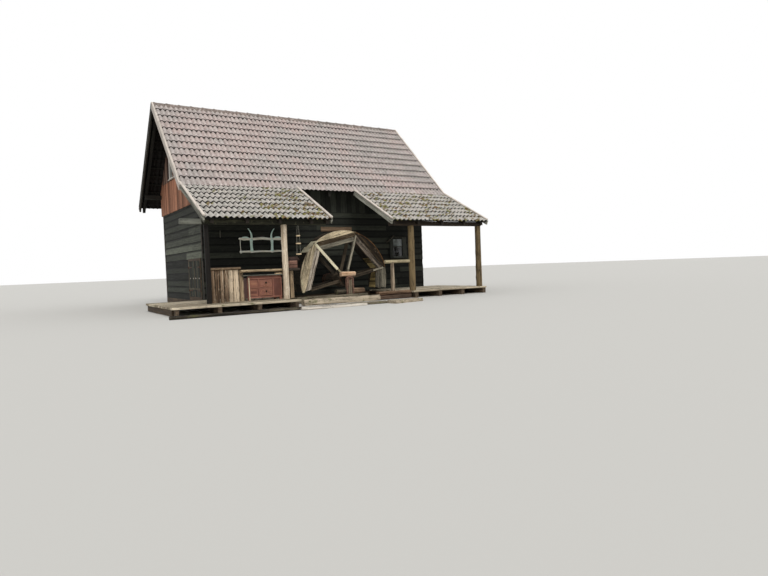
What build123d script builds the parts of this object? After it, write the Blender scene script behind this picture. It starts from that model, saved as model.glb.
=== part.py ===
"""Timber watermill with a tiled roof, two lean-to porches and the upper half of a
breast wheel standing between them.  Millimetres.  The origin is the middle of the
house on the ground, +X runs along the ridge, +Y to the back, +Z up."""
import os
from math import atan2, cos, degrees, hypot, radians, sin, sqrt, tan

from build123d import *

os.makedirs("parts", exist_ok=True)

# House
house_length = 7920
house_depth = 5040
wall_thickness = 120
sill_height = 170
sill_width = 220
floor_thickness = 50
joist_width = 140
joist_count = 7
gable_floor_height = 3100
gable_board = 40
gable_overlap = 20

# Roof
verge_overhang = 650
ridge_height = 6480
eave_height = 3480
eave_overhang = 550
tile_depth = 50
tile_cover = 300
waves_per_tile = 2
wave_height = 36
rafter_depth = 120
rafter_width = 90
rafter_count = 11
plate_size = 140
ridge_beam_width = 120
ridge_beam_depth = 200
verge_inset = 60
ridge_tile_radius = 120
bargeboard_depth = 190
bargeboard_thickness = 32
tie_beam_width = 140
tie_beam_depth = 160
tie_beam_count = 4

# Porches
porch_reach = 2180
porch_eave_height = 2370
porch_left_overhang = 1300
porch_right_overhang = 840
porch_rafter_depth = 100
porch_rafter_width = 80
post_setback = 280
porch_beam_width = 120
porch_beam_depth = 135
porch_beam_overrun = 540
porch_barge_depth = 150
log_post_inset = 90
log_post_radius = 84
corner_post_inset = 95
corner_post_size = 110
round_post_inset = 110
round_post_radius = 100
far_post_inset = 160
post_taper = 0.95
log_flats = 24

# Decks
deck_beyond_gable = 990
deck_left_to_wheel = 850
deck_left_apron = 780
deck_right_to_wheel = 120
deck_right_apron = 190
bearer_width = 120
bearer_setback = 320
leg_size = 90

# Low double door in the left wall
door_clear_width = 1300
door_clear_height = 1100
door_corner_width = 110
door_frame_width = 70
door_proud = 20
door_leaf_thickness = 38
door_gap = 6
door_step = 60
hinge_pin_radius = 7
hinge_eye_radius = 12
hinge_height = 40
hinge_inset = 170
strap_hinge_length = 420
strap_hinge_depth = 5
pin_clearance = 0.3
hinge_bracket = 50
hinge_offset = 10

# Windows
gable_window_width = 900
gable_window_height = 900
gable_window_sill = 4200
gable_window_shift = 450
front_window_inset = 1080
front_window_width = 520
front_window_height = 720
front_window_sill = 1280
casing_width = 60
casing_depth = 90
pane_thickness = 6
hood_thickness = 24
hood_depth = 75
hood_length = 360
hood_beyond = 200
hood_below = 170
hood_angle = 38

# Wheel
wheel_x = 0
wheel_height = 650
wheel_radius = 1500
wheel_wall_gap = 850
wheel_width = 500
ring_thickness = 70
rim_setback = 12
board_depth = 260
felloe_depth = 440
arm_phase = 13
arm_width = 100
arm_thickness = 70
shaft_radius = 190
shaft_back_gap = 60
hub_radius = 230
gudgeon_radius = 32
gudgeon_front_length = 270
stub_angle = 29
joint_gap = 1.2
rim_board_thickness = 32
rim_plate_start_angle = 128
rim_plate_end_angle = 136.5
rim_plate_notch = 90
bearing_clearance = 0.3
butt_gap = 0.5

# Bearing under the front gudgeon
bearing_to_wheel = 90
bearing_sill_left = 1780
bearing_sill_right = 600
bearing_sill_width = 210
bearing_sill_height = 200
bearing_post_width = 130
strap_width = 60
strap_thickness = 22
cap_log_length = 560
cap_log_radius = 78

# Counter and chest
counter_clearance = 6
counter_left_top = 1120
counter_right_top = 1040
counter_log_depth = 400
counter_log_thickness = 70
counter_slab_thickness = 45
counter_slab_count = 7
counter_slab_gap = 3
counter_slab_edge = 14
counter_end_overhang = 90
counter_beyond_post = 480
counter_leg_size = 100
counter_leg_inset = 200
chest_width = 950
chest_depth = 480
chest_height = 600
chest_foot = 60
chest_foot_width = 70
chest_to_post = 60
chest_to_leg = 80
drawer_rows = 3
drawer_gap = 16
drawer_proud = 12

# Yoke on the wall
yoke_length = 1440
yoke_shift = 280
yoke_top = 2040
yoke_drop = 420
yoke_thickness = 55
yoke_bar = 62
yoke_hump = 55
yoke_foot_bar = 52
yoke_hook_width = 62
yoke_horn_rise = 170
yoke_horn_lean = 95
yoke_end_bar = 30

# Hanging shelves
shelf_shift = 410
shelf_radius = 75
shelf_thickness = 18
shelf_heights = (1400, 1690, 1900)
shelf_cord = 8

# Rail beside the round post
rail_height = 1180
rail_radius = 52
rail_post_radius = 45
rail_post_inset = 260
rail_length = 990
rail_sill_top = 250
rail_sill_width = 190
rail_sill_beyond = 300

# Timbers and slab laid on the ground
kerb_gap = 350
kerb_width = 220
kerb_setback = 50
edge_log_gap = 610
edge_log_width = 120
edge_log_height = 80
edge_log_beyond = 200
edge_log_end = -190
edge_log_round = 22
step_gap = 30
step_length = 1060
step_depth = 500
step_far_depth = 350
step_skew = 100
step_batter = 20
step_height = 85

# Derived
floor_top = sill_height + floor_thickness
half_length = house_length / 2
half_depth = house_depth / 2
roof_length = house_length + 2 * verge_overhang
half_roof = roof_length / 2
eave_reach = half_depth + eave_overhang
porch_eave_reach = eave_reach + porch_reach
porch_post_line = porch_eave_reach - post_setback
deck_left_front = porch_post_line + deck_left_apron
deck_right_front = porch_post_line + deck_right_apron
wheel_front = half_depth + wheel_wall_gap + wheel_width
outer_chord = wheel_radius - board_depth
inner_chord = wheel_radius - felloe_depth
deck_left_start = -half_roof - deck_beyond_gable
deck_left_end = wheel_x - wheel_radius - deck_left_to_wheel
deck_right_start = wheel_x + wheel_radius + deck_right_to_wheel
deck_right_end = half_roof
corner_post_x = -half_roof + corner_post_inset
log_post_x = deck_left_end - log_post_inset
round_post_x = deck_right_start + round_post_inset
far_post_x = half_roof - far_post_inset
porch_left_end = log_post_x + porch_left_overhang
porch_right_start = round_post_x - porch_right_overhang
front_window_x = half_length - front_window_inset
rail_start = round_post_x - rail_length
rail_sill_start = rail_start - rail_sill_beyond
counter_front = porch_post_line - log_post_radius - counter_clearance
roof_angle = atan2(ridge_height - eave_height, eave_reach)
porch_angle = atan2(eave_height - porch_eave_height, porch_eave_reach - eave_reach)
plate_top = (
    eave_height
    + (eave_reach - half_depth + plate_size / 2) * tan(roof_angle)
    - (tile_depth + rafter_depth) / cos(roof_angle)
)
wall_top = plate_top - plate_size
porch_beam_top = (
    eave_height
    - (porch_post_line - eave_reach) * tan(porch_angle)
    - (tile_depth + porch_rafter_depth) / cos(porch_angle)
)
porch_beam_underside = porch_beam_top - porch_beam_depth


def block(x0, x1, y0, y1, z0, z1, mode=Mode.ADD):
    """Upright block between two corners."""
    with BuildSketch(Plane.XY.offset(z0)) as base:
        with Locations(((x0 + x1) / 2, (y0 + y1) / 2)):
            Rectangle(x1 - x0, y1 - y0)
    extrude(base.sketch, amount=z1 - z0, mode=mode)


def along_x(points, x0, x1, mode=Mode.ADD):
    """Profile in the Y-Z plane run along X."""
    with BuildSketch(Plane.YZ.offset(x0)) as face:
        with BuildLine():
            Polyline(*points, close=True)
        make_face()
    extrude(face.sketch, amount=x1 - x0, mode=mode)


def along_y(points, y0, y1, mode=Mode.ADD):
    """Profile in the X-Z plane run towards the back."""
    with BuildSketch(Plane.XZ.offset(-y0)) as face:
        with BuildLine():
            Polyline(*points, close=True)
        make_face()
    extrude(face.sketch, amount=-(y1 - y0), mode=mode)


def standing_log(x, y, radius, z0, z1):
    """Standing log in flats, a little thinner at the top."""
    lean = degrees(atan2(radius * (1 - post_taper), z1 - z0))
    with BuildSketch(Plane.XY.offset(z0)) as foot:
        with Locations((x, y)):
            RegularPolygon(radius, log_flats)
    extrude(foot.sketch, amount=z1 - z0, taper=lean)


def main_slope(side, drop_top, drop_bottom, y_eave, y_ridge):
    """Band of the main slope between two depths under the tile face.

    side is -1 at the front and 1 at the back.  y_eave and y_ridge are distances from
    the ridge line; the ends are cut plumb."""
    def height(distance, drop):
        rise = (eave_reach - distance) * tan(roof_angle)
        return eave_height + rise - drop / cos(roof_angle)

    return [
        (side * y_eave, height(y_eave, drop_top)),
        (side * y_ridge, height(y_ridge, drop_top)),
        (side * y_ridge, height(y_ridge, drop_bottom)),
        (side * y_eave, height(y_eave, drop_bottom)),
    ]


def porch_slope(drop_top, drop_bottom, y_outer, y_inner):
    """Band of the porch slope between two depths under its tile face."""
    def height(distance, drop):
        fall = (distance - eave_reach) * tan(porch_angle)
        return eave_height - fall - drop / cos(porch_angle)

    return [
        (-y_outer, height(y_outer, drop_top)),
        (-y_inner, height(y_inner, drop_top)),
        (-y_inner, height(y_inner, drop_bottom)),
        (-y_outer, height(y_outer, drop_bottom)),
    ]


def spread(first, last, count):
    """Evenly spaced values from first to last."""
    return [first + (last - first) * i / (count - 1) for i in range(count)]


def finish(item, name):
    """Label a finished piece and write it."""
    item.part.label = name
    export_step(item.part, f"parts/{name}.step")


# Ground sills, joists and floor
with BuildPart() as sill_beams:
    block(-half_length, half_length, -half_depth, -half_depth + sill_width, 0, sill_height)
    block(-half_length, half_length, half_depth - sill_width, half_depth, 0, sill_height)
finish(sill_beams, "sill_beams")

joist_ends = half_depth - sill_width
with BuildPart() as floor_joists:
    for x in spread(-half_length + joist_width / 2, half_length - joist_width / 2, joist_count):
        block(x - joist_width / 2, x + joist_width / 2, -joist_ends, joist_ends, 0, sill_height)
finish(floor_joists, "floor_joists")

inner_x = half_length - wall_thickness
inner_y = half_depth - wall_thickness
with BuildPart() as ground_floor:
    block(-inner_x, inner_x, -inner_y, inner_y, sill_height, floor_top)
finish(ground_floor, "ground_floor")

# Walls
with BuildPart() as front_wall:
    block(-half_length, half_length, -half_depth, -inner_y, sill_height, wall_top)
    block(
        front_window_x - front_window_width / 2,
        front_window_x + front_window_width / 2,
        -half_depth,
        -inner_y,
        front_window_sill,
        front_window_sill + front_window_height,
        mode=Mode.SUBTRACT,
    )
    with BuildSketch(Plane.XZ.offset(half_depth)):
        with Locations((wheel_x, wheel_height)):
            Circle(gudgeon_radius + bearing_clearance)
    extrude(amount=-wall_thickness, mode=Mode.SUBTRACT)
finish(front_wall, "front_wall")

with BuildPart() as rear_wall:
    block(-half_length, half_length, inner_y, half_depth, sill_height, wall_top)
finish(rear_wall, "rear_wall")

door_front_y = -half_depth + wall_thickness + door_corner_width
door_frame_front = door_front_y
door_back_y = door_front_y + 2 * door_frame_width + door_clear_width
door_sill_z = floor_top + door_step
door_top_z = door_sill_z + door_clear_height + door_frame_width
with BuildPart() as left_corner_post:
    block(-half_length, -inner_x, -inner_y, door_front_y, sill_height, door_top_z)
finish(left_corner_post, "left_corner_post")

with BuildPart() as left_wall_rear:
    block(-half_length, -inner_x, door_back_y, inner_y, sill_height, door_top_z)
finish(left_wall_rear, "left_wall_rear")

with BuildPart() as left_wall_upper:
    block(-half_length, -inner_x, -inner_y, inner_y, door_top_z, wall_top)
finish(left_wall_upper, "left_wall_upper")

with BuildPart() as right_wall:
    block(inner_x, half_length, -inner_y, inner_y, sill_height, wall_top)
finish(right_wall, "right_wall")


def gable_outline():
    """Half-open gable triangle under the tile bed, from the wall corner to the ridge."""
    edge = half_depth + gable_overlap
    lower = main_slope(-1, tile_depth, tile_depth + 1, edge, 0)
    return [
        (-edge, gable_floor_height),
        (edge, gable_floor_height),
        (edge, lower[0][1]),
        (0, lower[1][1]),
        (-edge, lower[0][1]),
    ]


plate_outer = half_depth
plate_inner = half_depth - plate_size
ridge_underside = ridge_height - (tile_depth + rafter_depth) / cos(roof_angle)
ridge_beam_top = ridge_height - tile_depth / cos(roof_angle) - ridge_beam_width / 2 * tan(roof_angle)
verge_x = half_roof - verge_inset


def roof_timbers_cut(x0, x1):
    """Room for the plates and the ridge beam where they pass through a gable."""
    block(x0, x1, -plate_outer, -plate_inner, wall_top, plate_top, mode=Mode.SUBTRACT)
    block(x0, x1, plate_inner, plate_outer, wall_top, plate_top, mode=Mode.SUBTRACT)
    block(
        x0,
        x1,
        -ridge_beam_width / 2,
        ridge_beam_width / 2,
        ridge_beam_top - ridge_beam_depth,
        ridge_height,
        mode=Mode.SUBTRACT,
    )


def gable(x0, x1):
    """Boarded gable with its window opening."""
    along_x(gable_outline(), x0, x1)
    roof_timbers_cut(x0, x1)
    block(
        x0,
        x1,
        gable_window_shift - gable_window_width / 2,
        gable_window_shift + gable_window_width / 2,
        gable_window_sill,
        gable_window_sill + gable_window_height,
        mode=Mode.SUBTRACT,
    )


with BuildPart() as left_gable:
    gable(-half_length - gable_board, -half_length)
finish(left_gable, "left_gable")

with BuildPart() as right_gable:
    gable(half_length, half_length + gable_board)
finish(right_gable, "right_gable")

# Roof timbers
with BuildPart() as wall_plates:
    block(-verge_x, verge_x, -plate_outer, -plate_inner, wall_top, plate_top)
    block(-verge_x, verge_x, plate_inner, plate_outer, wall_top, plate_top)
finish(wall_plates, "wall_plates")

with BuildPart() as ridge_beam:
    along_x(
        [
            (-ridge_beam_width / 2, ridge_beam_top - ridge_beam_depth),
            (ridge_beam_width / 2, ridge_beam_top - ridge_beam_depth),
            (ridge_beam_width / 2, ridge_beam_top),
            (-ridge_beam_width / 2, ridge_beam_top),
        ],
        -verge_x,
        verge_x,
    )
finish(ridge_beam, "ridge_beam")

tie_span = plate_inner
with BuildPart() as tie_beams:
    for x in spread(-inner_x + tie_beam_width / 2, inner_x - tie_beam_width / 2, tie_beam_count):
        block(
            x - tie_beam_width / 2,
            x + tie_beam_width / 2,
            -tie_span,
            tie_span,
            plate_top - tie_beam_depth,
            plate_top,
        )
    block(-inner_x, inner_x, -half_depth, -inner_y, 0, wall_top, mode=Mode.SUBTRACT)
    block(-inner_x, inner_x, inner_y, half_depth, 0, wall_top, mode=Mode.SUBTRACT)
finish(tie_beams, "tie_beams")

rafter_eave = eave_reach - 40
rafter_places = [
    x
    for x in spread(-verge_x + rafter_width / 2, verge_x - rafter_width / 2, rafter_count)
]


def rafters(side):
    """Row of rafters from the eave to the ridge beam, notched over the wall plate."""
    for x in rafter_places:
        along_x(
            main_slope(side, tile_depth, tile_depth + rafter_depth, rafter_eave, ridge_beam_width / 2),
            x - rafter_width / 2,
            x + rafter_width / 2,
        )
    low, high = sorted((side * plate_outer, side * plate_inner))
    block(-half_roof, half_roof, low, high, wall_top, plate_top, mode=Mode.SUBTRACT)


with BuildPart() as rafters_front:
    rafters(-1)
finish(rafters_front, "rafters_front")

with BuildPart() as rafters_rear:
    rafters(1)
finish(rafters_rear, "rafters_rear")

# Tiled slopes
def tile_waves(x0, x1, eave, ridge):
    """Cuts the troughs of the tile rows, from the eave to the ridge.

    eave and ridge are points of the tile face as (y, z).  Each wave has a flat crest at
    the tile face, a flat trough and two even flanks."""
    waves = waves_per_tile * round((x1 - x0) / tile_cover)
    pitch = (x1 - x0) / waves
    crossing = []
    for i in range(waves):
        for share, height in ((0.1, -wave_height), (0.4, 0), (0.6, 0), (0.9, -wave_height)):
            crossing.append((x0 + (i + share) * pitch, height))
    run = Vector(0, ridge[0] - eave[0], ridge[1] - eave[1])
    out = Vector(0, -run.Z, run.Y) if run.Y > 0 else Vector(0, run.Z, -run.Y)
    face = Plane((0, *eave), x_dir=(1, 0, 0), z_dir=Vector(1, 0, 0).cross(out))
    with BuildSketch(face) as gaps:
        with BuildLine():
            Polyline(
                (x0, -wave_height),
                *crossing,
                (x1, -wave_height),
                (x1, wave_height),
                (x0, wave_height),
                close=True,
            )
        make_face()
    extrude(gaps.sketch, amount=1.1 * run.length, both=True, mode=Mode.SUBTRACT)


with BuildPart() as roof_front:
    along_x(main_slope(-1, 0, tile_depth, eave_reach, 0), -half_roof, half_roof)
    tile_waves(-half_roof, half_roof, (-eave_reach, eave_height), (0, ridge_height))
finish(roof_front, "roof_front")

with BuildPart() as roof_rear:
    along_x(main_slope(1, 0, tile_depth, eave_reach, 0), -half_roof, half_roof)
    tile_waves(-half_roof, half_roof, (eave_reach, eave_height), (0, ridge_height))
finish(roof_rear, "roof_rear")

ridge_tile_z = ridge_height - ridge_tile_radius * 0.62
with BuildPart() as ridge_tiles:
    with BuildSketch(Plane.YZ.offset(-half_roof)):
        with Locations((0, ridge_tile_z)):
            Circle(ridge_tile_radius)
    extrude(amount=roof_length)
    along_x(
        [
            (-eave_reach, eave_height),
            (0, ridge_height),
            (eave_reach, eave_height),
        ],
        -half_roof,
        half_roof,
        mode=Mode.SUBTRACT,
    )
finish(ridge_tiles, "ridge_tiles")

# Porch roofs
def porch_bed(x0, x1):
    along_x(porch_slope(0, tile_depth, porch_eave_reach, eave_reach), x0, x1)
    tile_waves(x0, x1, (-porch_eave_reach, porch_eave_height), (-eave_reach, eave_height))


with BuildPart() as porch_roof_left:
    porch_bed(-half_roof, porch_left_end)
finish(porch_roof_left, "porch_roof_left")

with BuildPart() as porch_roof_right:
    porch_bed(porch_right_start, half_roof)
finish(porch_roof_right, "porch_roof_right")

porch_rafter_tail = porch_eave_reach - 40
beside = (rafter_width + porch_rafter_width) / 2 + 1
left_end_rafter = porch_left_end - verge_inset - porch_rafter_width / 2
left_rafter_places = [x + beside for x in rafter_places if x + beside < left_end_rafter - 2 * beside]
left_rafter_places.append(left_end_rafter)
right_rafter_places = [
    x + beside for x in rafter_places[:-1] if x + beside > porch_right_start + porch_rafter_width
]
right_rafter_places.append(rafter_places[-1] - beside)
with BuildPart() as porch_rafters:
    for x in left_rafter_places + right_rafter_places:
        along_x(
            porch_slope(tile_depth, tile_depth + porch_rafter_depth, porch_rafter_tail, half_depth),
            x - porch_rafter_width / 2,
            x + porch_rafter_width / 2,
        )
    along_x(
        main_slope(-1, 0, tile_depth, eave_reach, 0),
        -half_roof,
        half_roof,
        mode=Mode.SUBTRACT,
    )
    block(
        -half_roof - porch_beam_overrun,
        half_roof,
        -porch_post_line - porch_beam_width / 2,
        -porch_post_line + porch_beam_width / 2,
        porch_beam_underside,
        porch_beam_top,
        mode=Mode.SUBTRACT,
    )
finish(porch_rafters, "porch_rafters")

with BuildPart() as porch_beams:
    block(
        -half_roof - porch_beam_overrun,
        porch_left_end - verge_inset,
        -porch_post_line - porch_beam_width / 2,
        -porch_post_line + porch_beam_width / 2,
        porch_beam_underside,
        porch_beam_top,
    )
    block(
        porch_right_start + verge_inset,
        verge_x,
        -porch_post_line - porch_beam_width / 2,
        -porch_post_line + porch_beam_width / 2,
        porch_beam_underside,
        porch_beam_top,
    )
finish(porch_beams, "porch_beams")

# Posts
with BuildPart() as log_post:
    standing_log(log_post_x, -porch_post_line, log_post_radius, floor_top, porch_beam_underside)
finish(log_post, "log_post")

with BuildPart() as corner_post:
    block(
        corner_post_x - corner_post_size / 2,
        corner_post_x + corner_post_size / 2,
        -porch_post_line - corner_post_size / 2,
        -porch_post_line + corner_post_size / 2,
        floor_top,
        porch_beam_underside,
    )
finish(corner_post, "corner_post")

with BuildPart() as round_posts:
    for x in (round_post_x, far_post_x):
        standing_log(x, -porch_post_line, round_post_radius, floor_top, porch_beam_underside)
finish(round_posts, "round_posts")

# Bargeboards
def verge_board(x0, x1, side):
    along_x(
        main_slope(side, -14, bargeboard_depth - 14, eave_reach, 1.5),
        x0,
        x1,
    )


with BuildPart() as bargeboards_left:
    verge_board(-half_roof - bargeboard_thickness, -half_roof, -1)
    verge_board(-half_roof - bargeboard_thickness, -half_roof, 1)
finish(bargeboards_left, "bargeboards_left")

with BuildPart() as bargeboards_right:
    verge_board(half_roof, half_roof + bargeboard_thickness, -1)
    verge_board(half_roof, half_roof + bargeboard_thickness, 1)
finish(bargeboards_right, "bargeboards_right")

with BuildPart() as porch_bargeboards:
    for x in (
        -half_roof - bargeboard_thickness,
        porch_left_end,
        porch_right_start - bargeboard_thickness,
        half_roof,
    ):
        along_x(
            porch_slope(-14, porch_barge_depth - 14, porch_eave_reach, eave_reach + 1.5),
            x,
            x + bargeboard_thickness,
        )
    block(
        -half_roof - porch_beam_overrun,
        half_roof,
        -porch_post_line - porch_beam_width / 2,
        -porch_post_line + porch_beam_width / 2,
        porch_beam_underside,
        porch_beam_top,
        mode=Mode.SUBTRACT,
    )
finish(porch_bargeboards, "porch_bargeboards")

# Decks
with BuildPart() as deck_left:
    block(deck_left_start, deck_left_end, -deck_left_front, -half_depth, sill_height, floor_top)
finish(deck_left, "deck_left")

with BuildPart() as deck_right:
    block(deck_right_start, deck_right_end, -deck_right_front, -half_depth, sill_height, floor_top)
finish(deck_right, "deck_right")

with BuildPart() as deck_bearers:
    for x in spread(deck_left_start + bearer_width, deck_left_end - bearer_width, 4):
        block(
            x - bearer_width / 2,
            x + bearer_width / 2,
            -deck_left_front + bearer_setback,
            -half_depth,
            0,
            sill_height,
        )
        block(
            x - leg_size / 2,
            x + leg_size / 2,
            -deck_left_front + 20,
            -deck_left_front + 20 + leg_size,
            0,
            sill_height,
        )
    for x in spread(deck_right_start + bearer_width, deck_right_end - bearer_width, 4):
        block(
            x - bearer_width / 2,
            x + bearer_width / 2,
            -deck_right_front,
            -half_depth,
            0,
            sill_height,
        )
finish(deck_bearers, "deck_bearers")

# Timbers laid on the ground before the wheel
bearing_sill_back = wheel_front + bearing_to_wheel
bearing_sill_front = bearing_sill_back + bearing_sill_width
kerb_back = porch_post_line - kerb_setback
with BuildPart() as ground_timbers:
    block(
        wheel_x - bearing_sill_left,
        wheel_x + bearing_sill_right,
        -bearing_sill_front,
        -bearing_sill_back,
        0,
        bearing_sill_height,
    )
    block(
        deck_left_end + kerb_gap,
        rail_sill_start - butt_gap,
        -kerb_back - kerb_width,
        -kerb_back,
        0,
        sill_height,
    )
    block(
        rail_sill_start,
        deck_right_start - butt_gap,
        -porch_post_line - rail_sill_width / 2,
        -porch_post_line + rail_sill_width / 2,
        0,
        rail_sill_top,
    )
finish(ground_timbers, "ground_timbers")

edge_log_back = deck_left_front + edge_log_gap
with BuildPart() as edge_log:
    block(
        deck_left_start - edge_log_beyond,
        edge_log_end,
        -edge_log_back - edge_log_width,
        -edge_log_back,
        0,
        edge_log_height,
    )
    fillet(edge_log.edges().filter_by(Axis.X).group_by(Axis.Z)[-1], edge_log_round)
finish(edge_log, "edge_log")

step_x = edge_log_end + step_gap
step_back = edge_log_back + step_gap + step_batter - 10
with BuildPart() as step_slab:
    with BuildSketch() as slab_face:
        with BuildLine():
            Polyline(
                (step_x - step_batter, -step_back - step_depth),
                (step_x, -step_back),
                (step_x + step_length, -step_back + step_skew),
                (step_x + step_length - step_batter, -step_back + step_skew - step_far_depth),
                close=True,
            )
        make_face()
    extrude(amount=step_height)
finish(step_slab, "step_slab")

# Low door
frame_x0 = -half_length - door_proud
frame_x1 = -inner_x
leaf_y0 = door_front_y + door_frame_width + door_gap
leaf_y3 = door_back_y - door_frame_width - door_gap
leaf_mid = (leaf_y0 + leaf_y3) / 2
leaf_z0 = door_sill_z + door_gap
leaf_z1 = door_top_z - door_frame_width - door_gap
hinge_x = frame_x0 - hinge_eye_radius - pin_clearance
hinge_y_front = leaf_y0 - hinge_offset
hinge_y_rear = leaf_y3 + hinge_offset
hinge_levels = (leaf_z0 + hinge_inset, leaf_z1 - hinge_inset - hinge_height)


def standing(x, y, radius, z0, z1, mode=Mode.ADD):
    """Upright round pin or hole."""
    with BuildSketch(Plane.XY.offset(z0)) as face:
        with Locations((x, y)):
            Circle(radius)
    extrude(face.sketch, amount=z1 - z0, mode=mode)


with BuildPart() as door_frame:
    block(frame_x0, frame_x1, door_front_y, door_back_y, sill_height, door_top_z)
    block(
        frame_x0,
        frame_x1,
        door_front_y + door_frame_width,
        door_back_y - door_frame_width,
        door_sill_z,
        door_top_z - door_frame_width,
        mode=Mode.SUBTRACT,
    )
    for y, way in ((hinge_y_front, -1), (hinge_y_rear, 1)):
        for z in hinge_levels:
            low, high = sorted((y + way * hinge_bracket, y - way * hinge_pin_radius))
            block(
                hinge_x - hinge_pin_radius,
                frame_x0,
                low,
                high,
                z - hinge_eye_radius - pin_clearance,
                z - pin_clearance,
            )
            standing(hinge_x, y, hinge_pin_radius, z - pin_clearance, z + hinge_height)
finish(door_frame, "door_frame")


def door_leaf(y_hinge, y_edge, y_free):
    """Plank leaf with two strap hinges on its face."""
    low, high = sorted((y_edge, y_free))
    way = 1 if y_free > y_hinge else -1
    block(frame_x0, frame_x0 + door_leaf_thickness, low, high, leaf_z0, leaf_z1)
    for z in hinge_levels:
        a, b = sorted((y_hinge, y_hinge + way * strap_hinge_length))
        block(frame_x0 - strap_hinge_depth, frame_x0, a, b, z, z + hinge_height)
        standing(hinge_x, y_hinge, hinge_eye_radius, z, z + hinge_height)
        standing(
            hinge_x,
            y_hinge,
            hinge_pin_radius + pin_clearance,
            z,
            z + hinge_height,
            mode=Mode.SUBTRACT,
        )


with BuildPart() as door_leaf_front:
    door_leaf(hinge_y_front, leaf_y0, leaf_mid - door_gap / 2)
finish(door_leaf_front, "door_leaf_front")

with BuildPart() as door_leaf_rear:
    door_leaf(hinge_y_rear, leaf_y3, leaf_mid + door_gap / 2)
finish(door_leaf_rear, "door_leaf_rear")


# Windows
def casing(x0, x1, y0, y1, z0, z1):
    """Window frame with a middle bar, facing left or right."""
    block(x0, x1, y0, y1, z0, z1)
    middle = (y0 + y1) / 2
    bar = casing_width / 2
    for a, b in ((y0 + casing_width, middle - bar / 2), (middle + bar / 2, y1 - casing_width)):
        block(x0, x1, a, b, z0 + casing_width, z1 - casing_width, mode=Mode.SUBTRACT)


gable_window_y0 = gable_window_shift - gable_window_width / 2
gable_window_y1 = gable_window_shift + gable_window_width / 2
gable_window_top = gable_window_sill + gable_window_height
gable_face = half_length + gable_board
with BuildPart() as gable_windows:
    for side in (-1, 1):
        low, high = sorted((side * (gable_face + 25), side * (gable_face + 25 - casing_depth)))
        casing(low, high, gable_window_y0, gable_window_y1, gable_window_sill, gable_window_top)
finish(gable_windows, "gable_windows")

front_window_x0 = front_window_x - front_window_width / 2
front_window_x1 = front_window_x + front_window_width / 2
front_window_top = front_window_sill + front_window_height
front_face = -half_depth - 20
with BuildPart() as front_window:
    block(
        front_window_x0,
        front_window_x1,
        front_face,
        front_face + casing_depth,
        front_window_sill,
        front_window_top,
    )
    middle = front_window_sill + front_window_height * 0.56
    for a, b in (
        (front_window_sill + casing_width, middle - casing_width / 4),
        (middle + casing_width / 4, front_window_top - casing_width),
    ):
        block(
            front_window_x0 + casing_width,
            front_window_x1 - casing_width,
            front_face,
            front_face + casing_depth,
            a,
            b,
            mode=Mode.SUBTRACT,
        )
    hood_slope = radians(hood_angle)
    hood_foot = (front_window_x0 - hood_beyond, front_window_top - hood_below)
    hood_head = (
        hood_foot[0] + hood_length * cos(hood_slope),
        hood_foot[1] + hood_length * sin(hood_slope),
    )
    rise = (-hood_thickness * sin(hood_slope), hood_thickness * cos(hood_slope))
    along_y(
        [hood_foot, hood_head, (hood_head[0] + rise[0], hood_head[1] + rise[1]), (hood_foot[0] + rise[0], hood_foot[1] + rise[1])],
        -half_depth - hood_depth,
        -half_depth,
    )
    block(
        front_window_x0 - casing_width / 2,
        front_window_x1 + casing_width,
        -half_depth - hood_depth,
        -half_depth,
        front_window_top,
        front_window_top + hood_thickness,
    )
finish(front_window, "front_window")

with BuildPart() as window_panes:
    for side in (-1, 1):
        inner = gable_face + 25 - casing_depth / 2
        low, high = sorted((side * inner, side * (inner - pane_thickness)))
        middle = gable_window_shift
        for a, b in (
            (gable_window_y0 + casing_width, middle - casing_width / 4),
            (middle + casing_width / 4, gable_window_y1 - casing_width),
        ):
            block(low, high, a, b, gable_window_sill + casing_width, gable_window_top - casing_width)
    middle = front_window_sill + front_window_height * 0.56
    pane_y = front_face + casing_depth / 2
    for a, b in (
        (front_window_sill + casing_width, middle - casing_width / 4),
        (middle + casing_width / 4, front_window_top - casing_width),
    ):
        block(
            front_window_x0 + casing_width,
            front_window_x1 - casing_width,
            pane_y,
            pane_y + pane_thickness,
            a,
            b,
        )
finish(window_panes, "window_panes")


# Wheel.  Angles are measured in the X-Z plane from +X towards +Z.
def on_wheel(radius, angle):
    """Point of the wheel face at a radius and an angle in degrees."""
    return (
        wheel_x + radius * cos(radians(angle)),
        wheel_height + radius * sin(radians(angle)),
    )


def felloe(y, start, end, thickness):
    """Rim piece between two arms: a straight plank, and a board outside it cut to the
    round of the wheel and set back a little from the plank's face."""
    edge = degrees(joint_gap / 2 / wheel_radius)
    first, last = start + edge, end - edge
    reach = inner_chord / cos(radians(30))
    seam = outer_chord / cos(radians(30))
    above = (outer_chord + butt_gap) / cos(radians(30))
    with BuildSketch(Plane.XZ.offset(y)) as plank:
        with BuildLine():
            Polyline(
                on_wheel(reach, first),
                on_wheel(seam, first),
                on_wheel(seam, last),
                on_wheel(reach, last),
                close=True,
            )
        make_face()
    extrude(plank.sketch, amount=-thickness)
    with BuildSketch(Plane.XZ.offset(y - rim_setback)) as board:
        with BuildLine():
            ThreePointArc(
                on_wheel(wheel_radius, first),
                on_wheel(wheel_radius, (start + end) / 2),
                on_wheel(wheel_radius, last),
            )
            Polyline(
                on_wheel(wheel_radius, last),
                on_wheel(above, last),
                on_wheel(above, first),
                on_wheel(wheel_radius, first),
            )
        make_face()
    extrude(board.sketch, amount=-(thickness - rim_setback))


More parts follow.
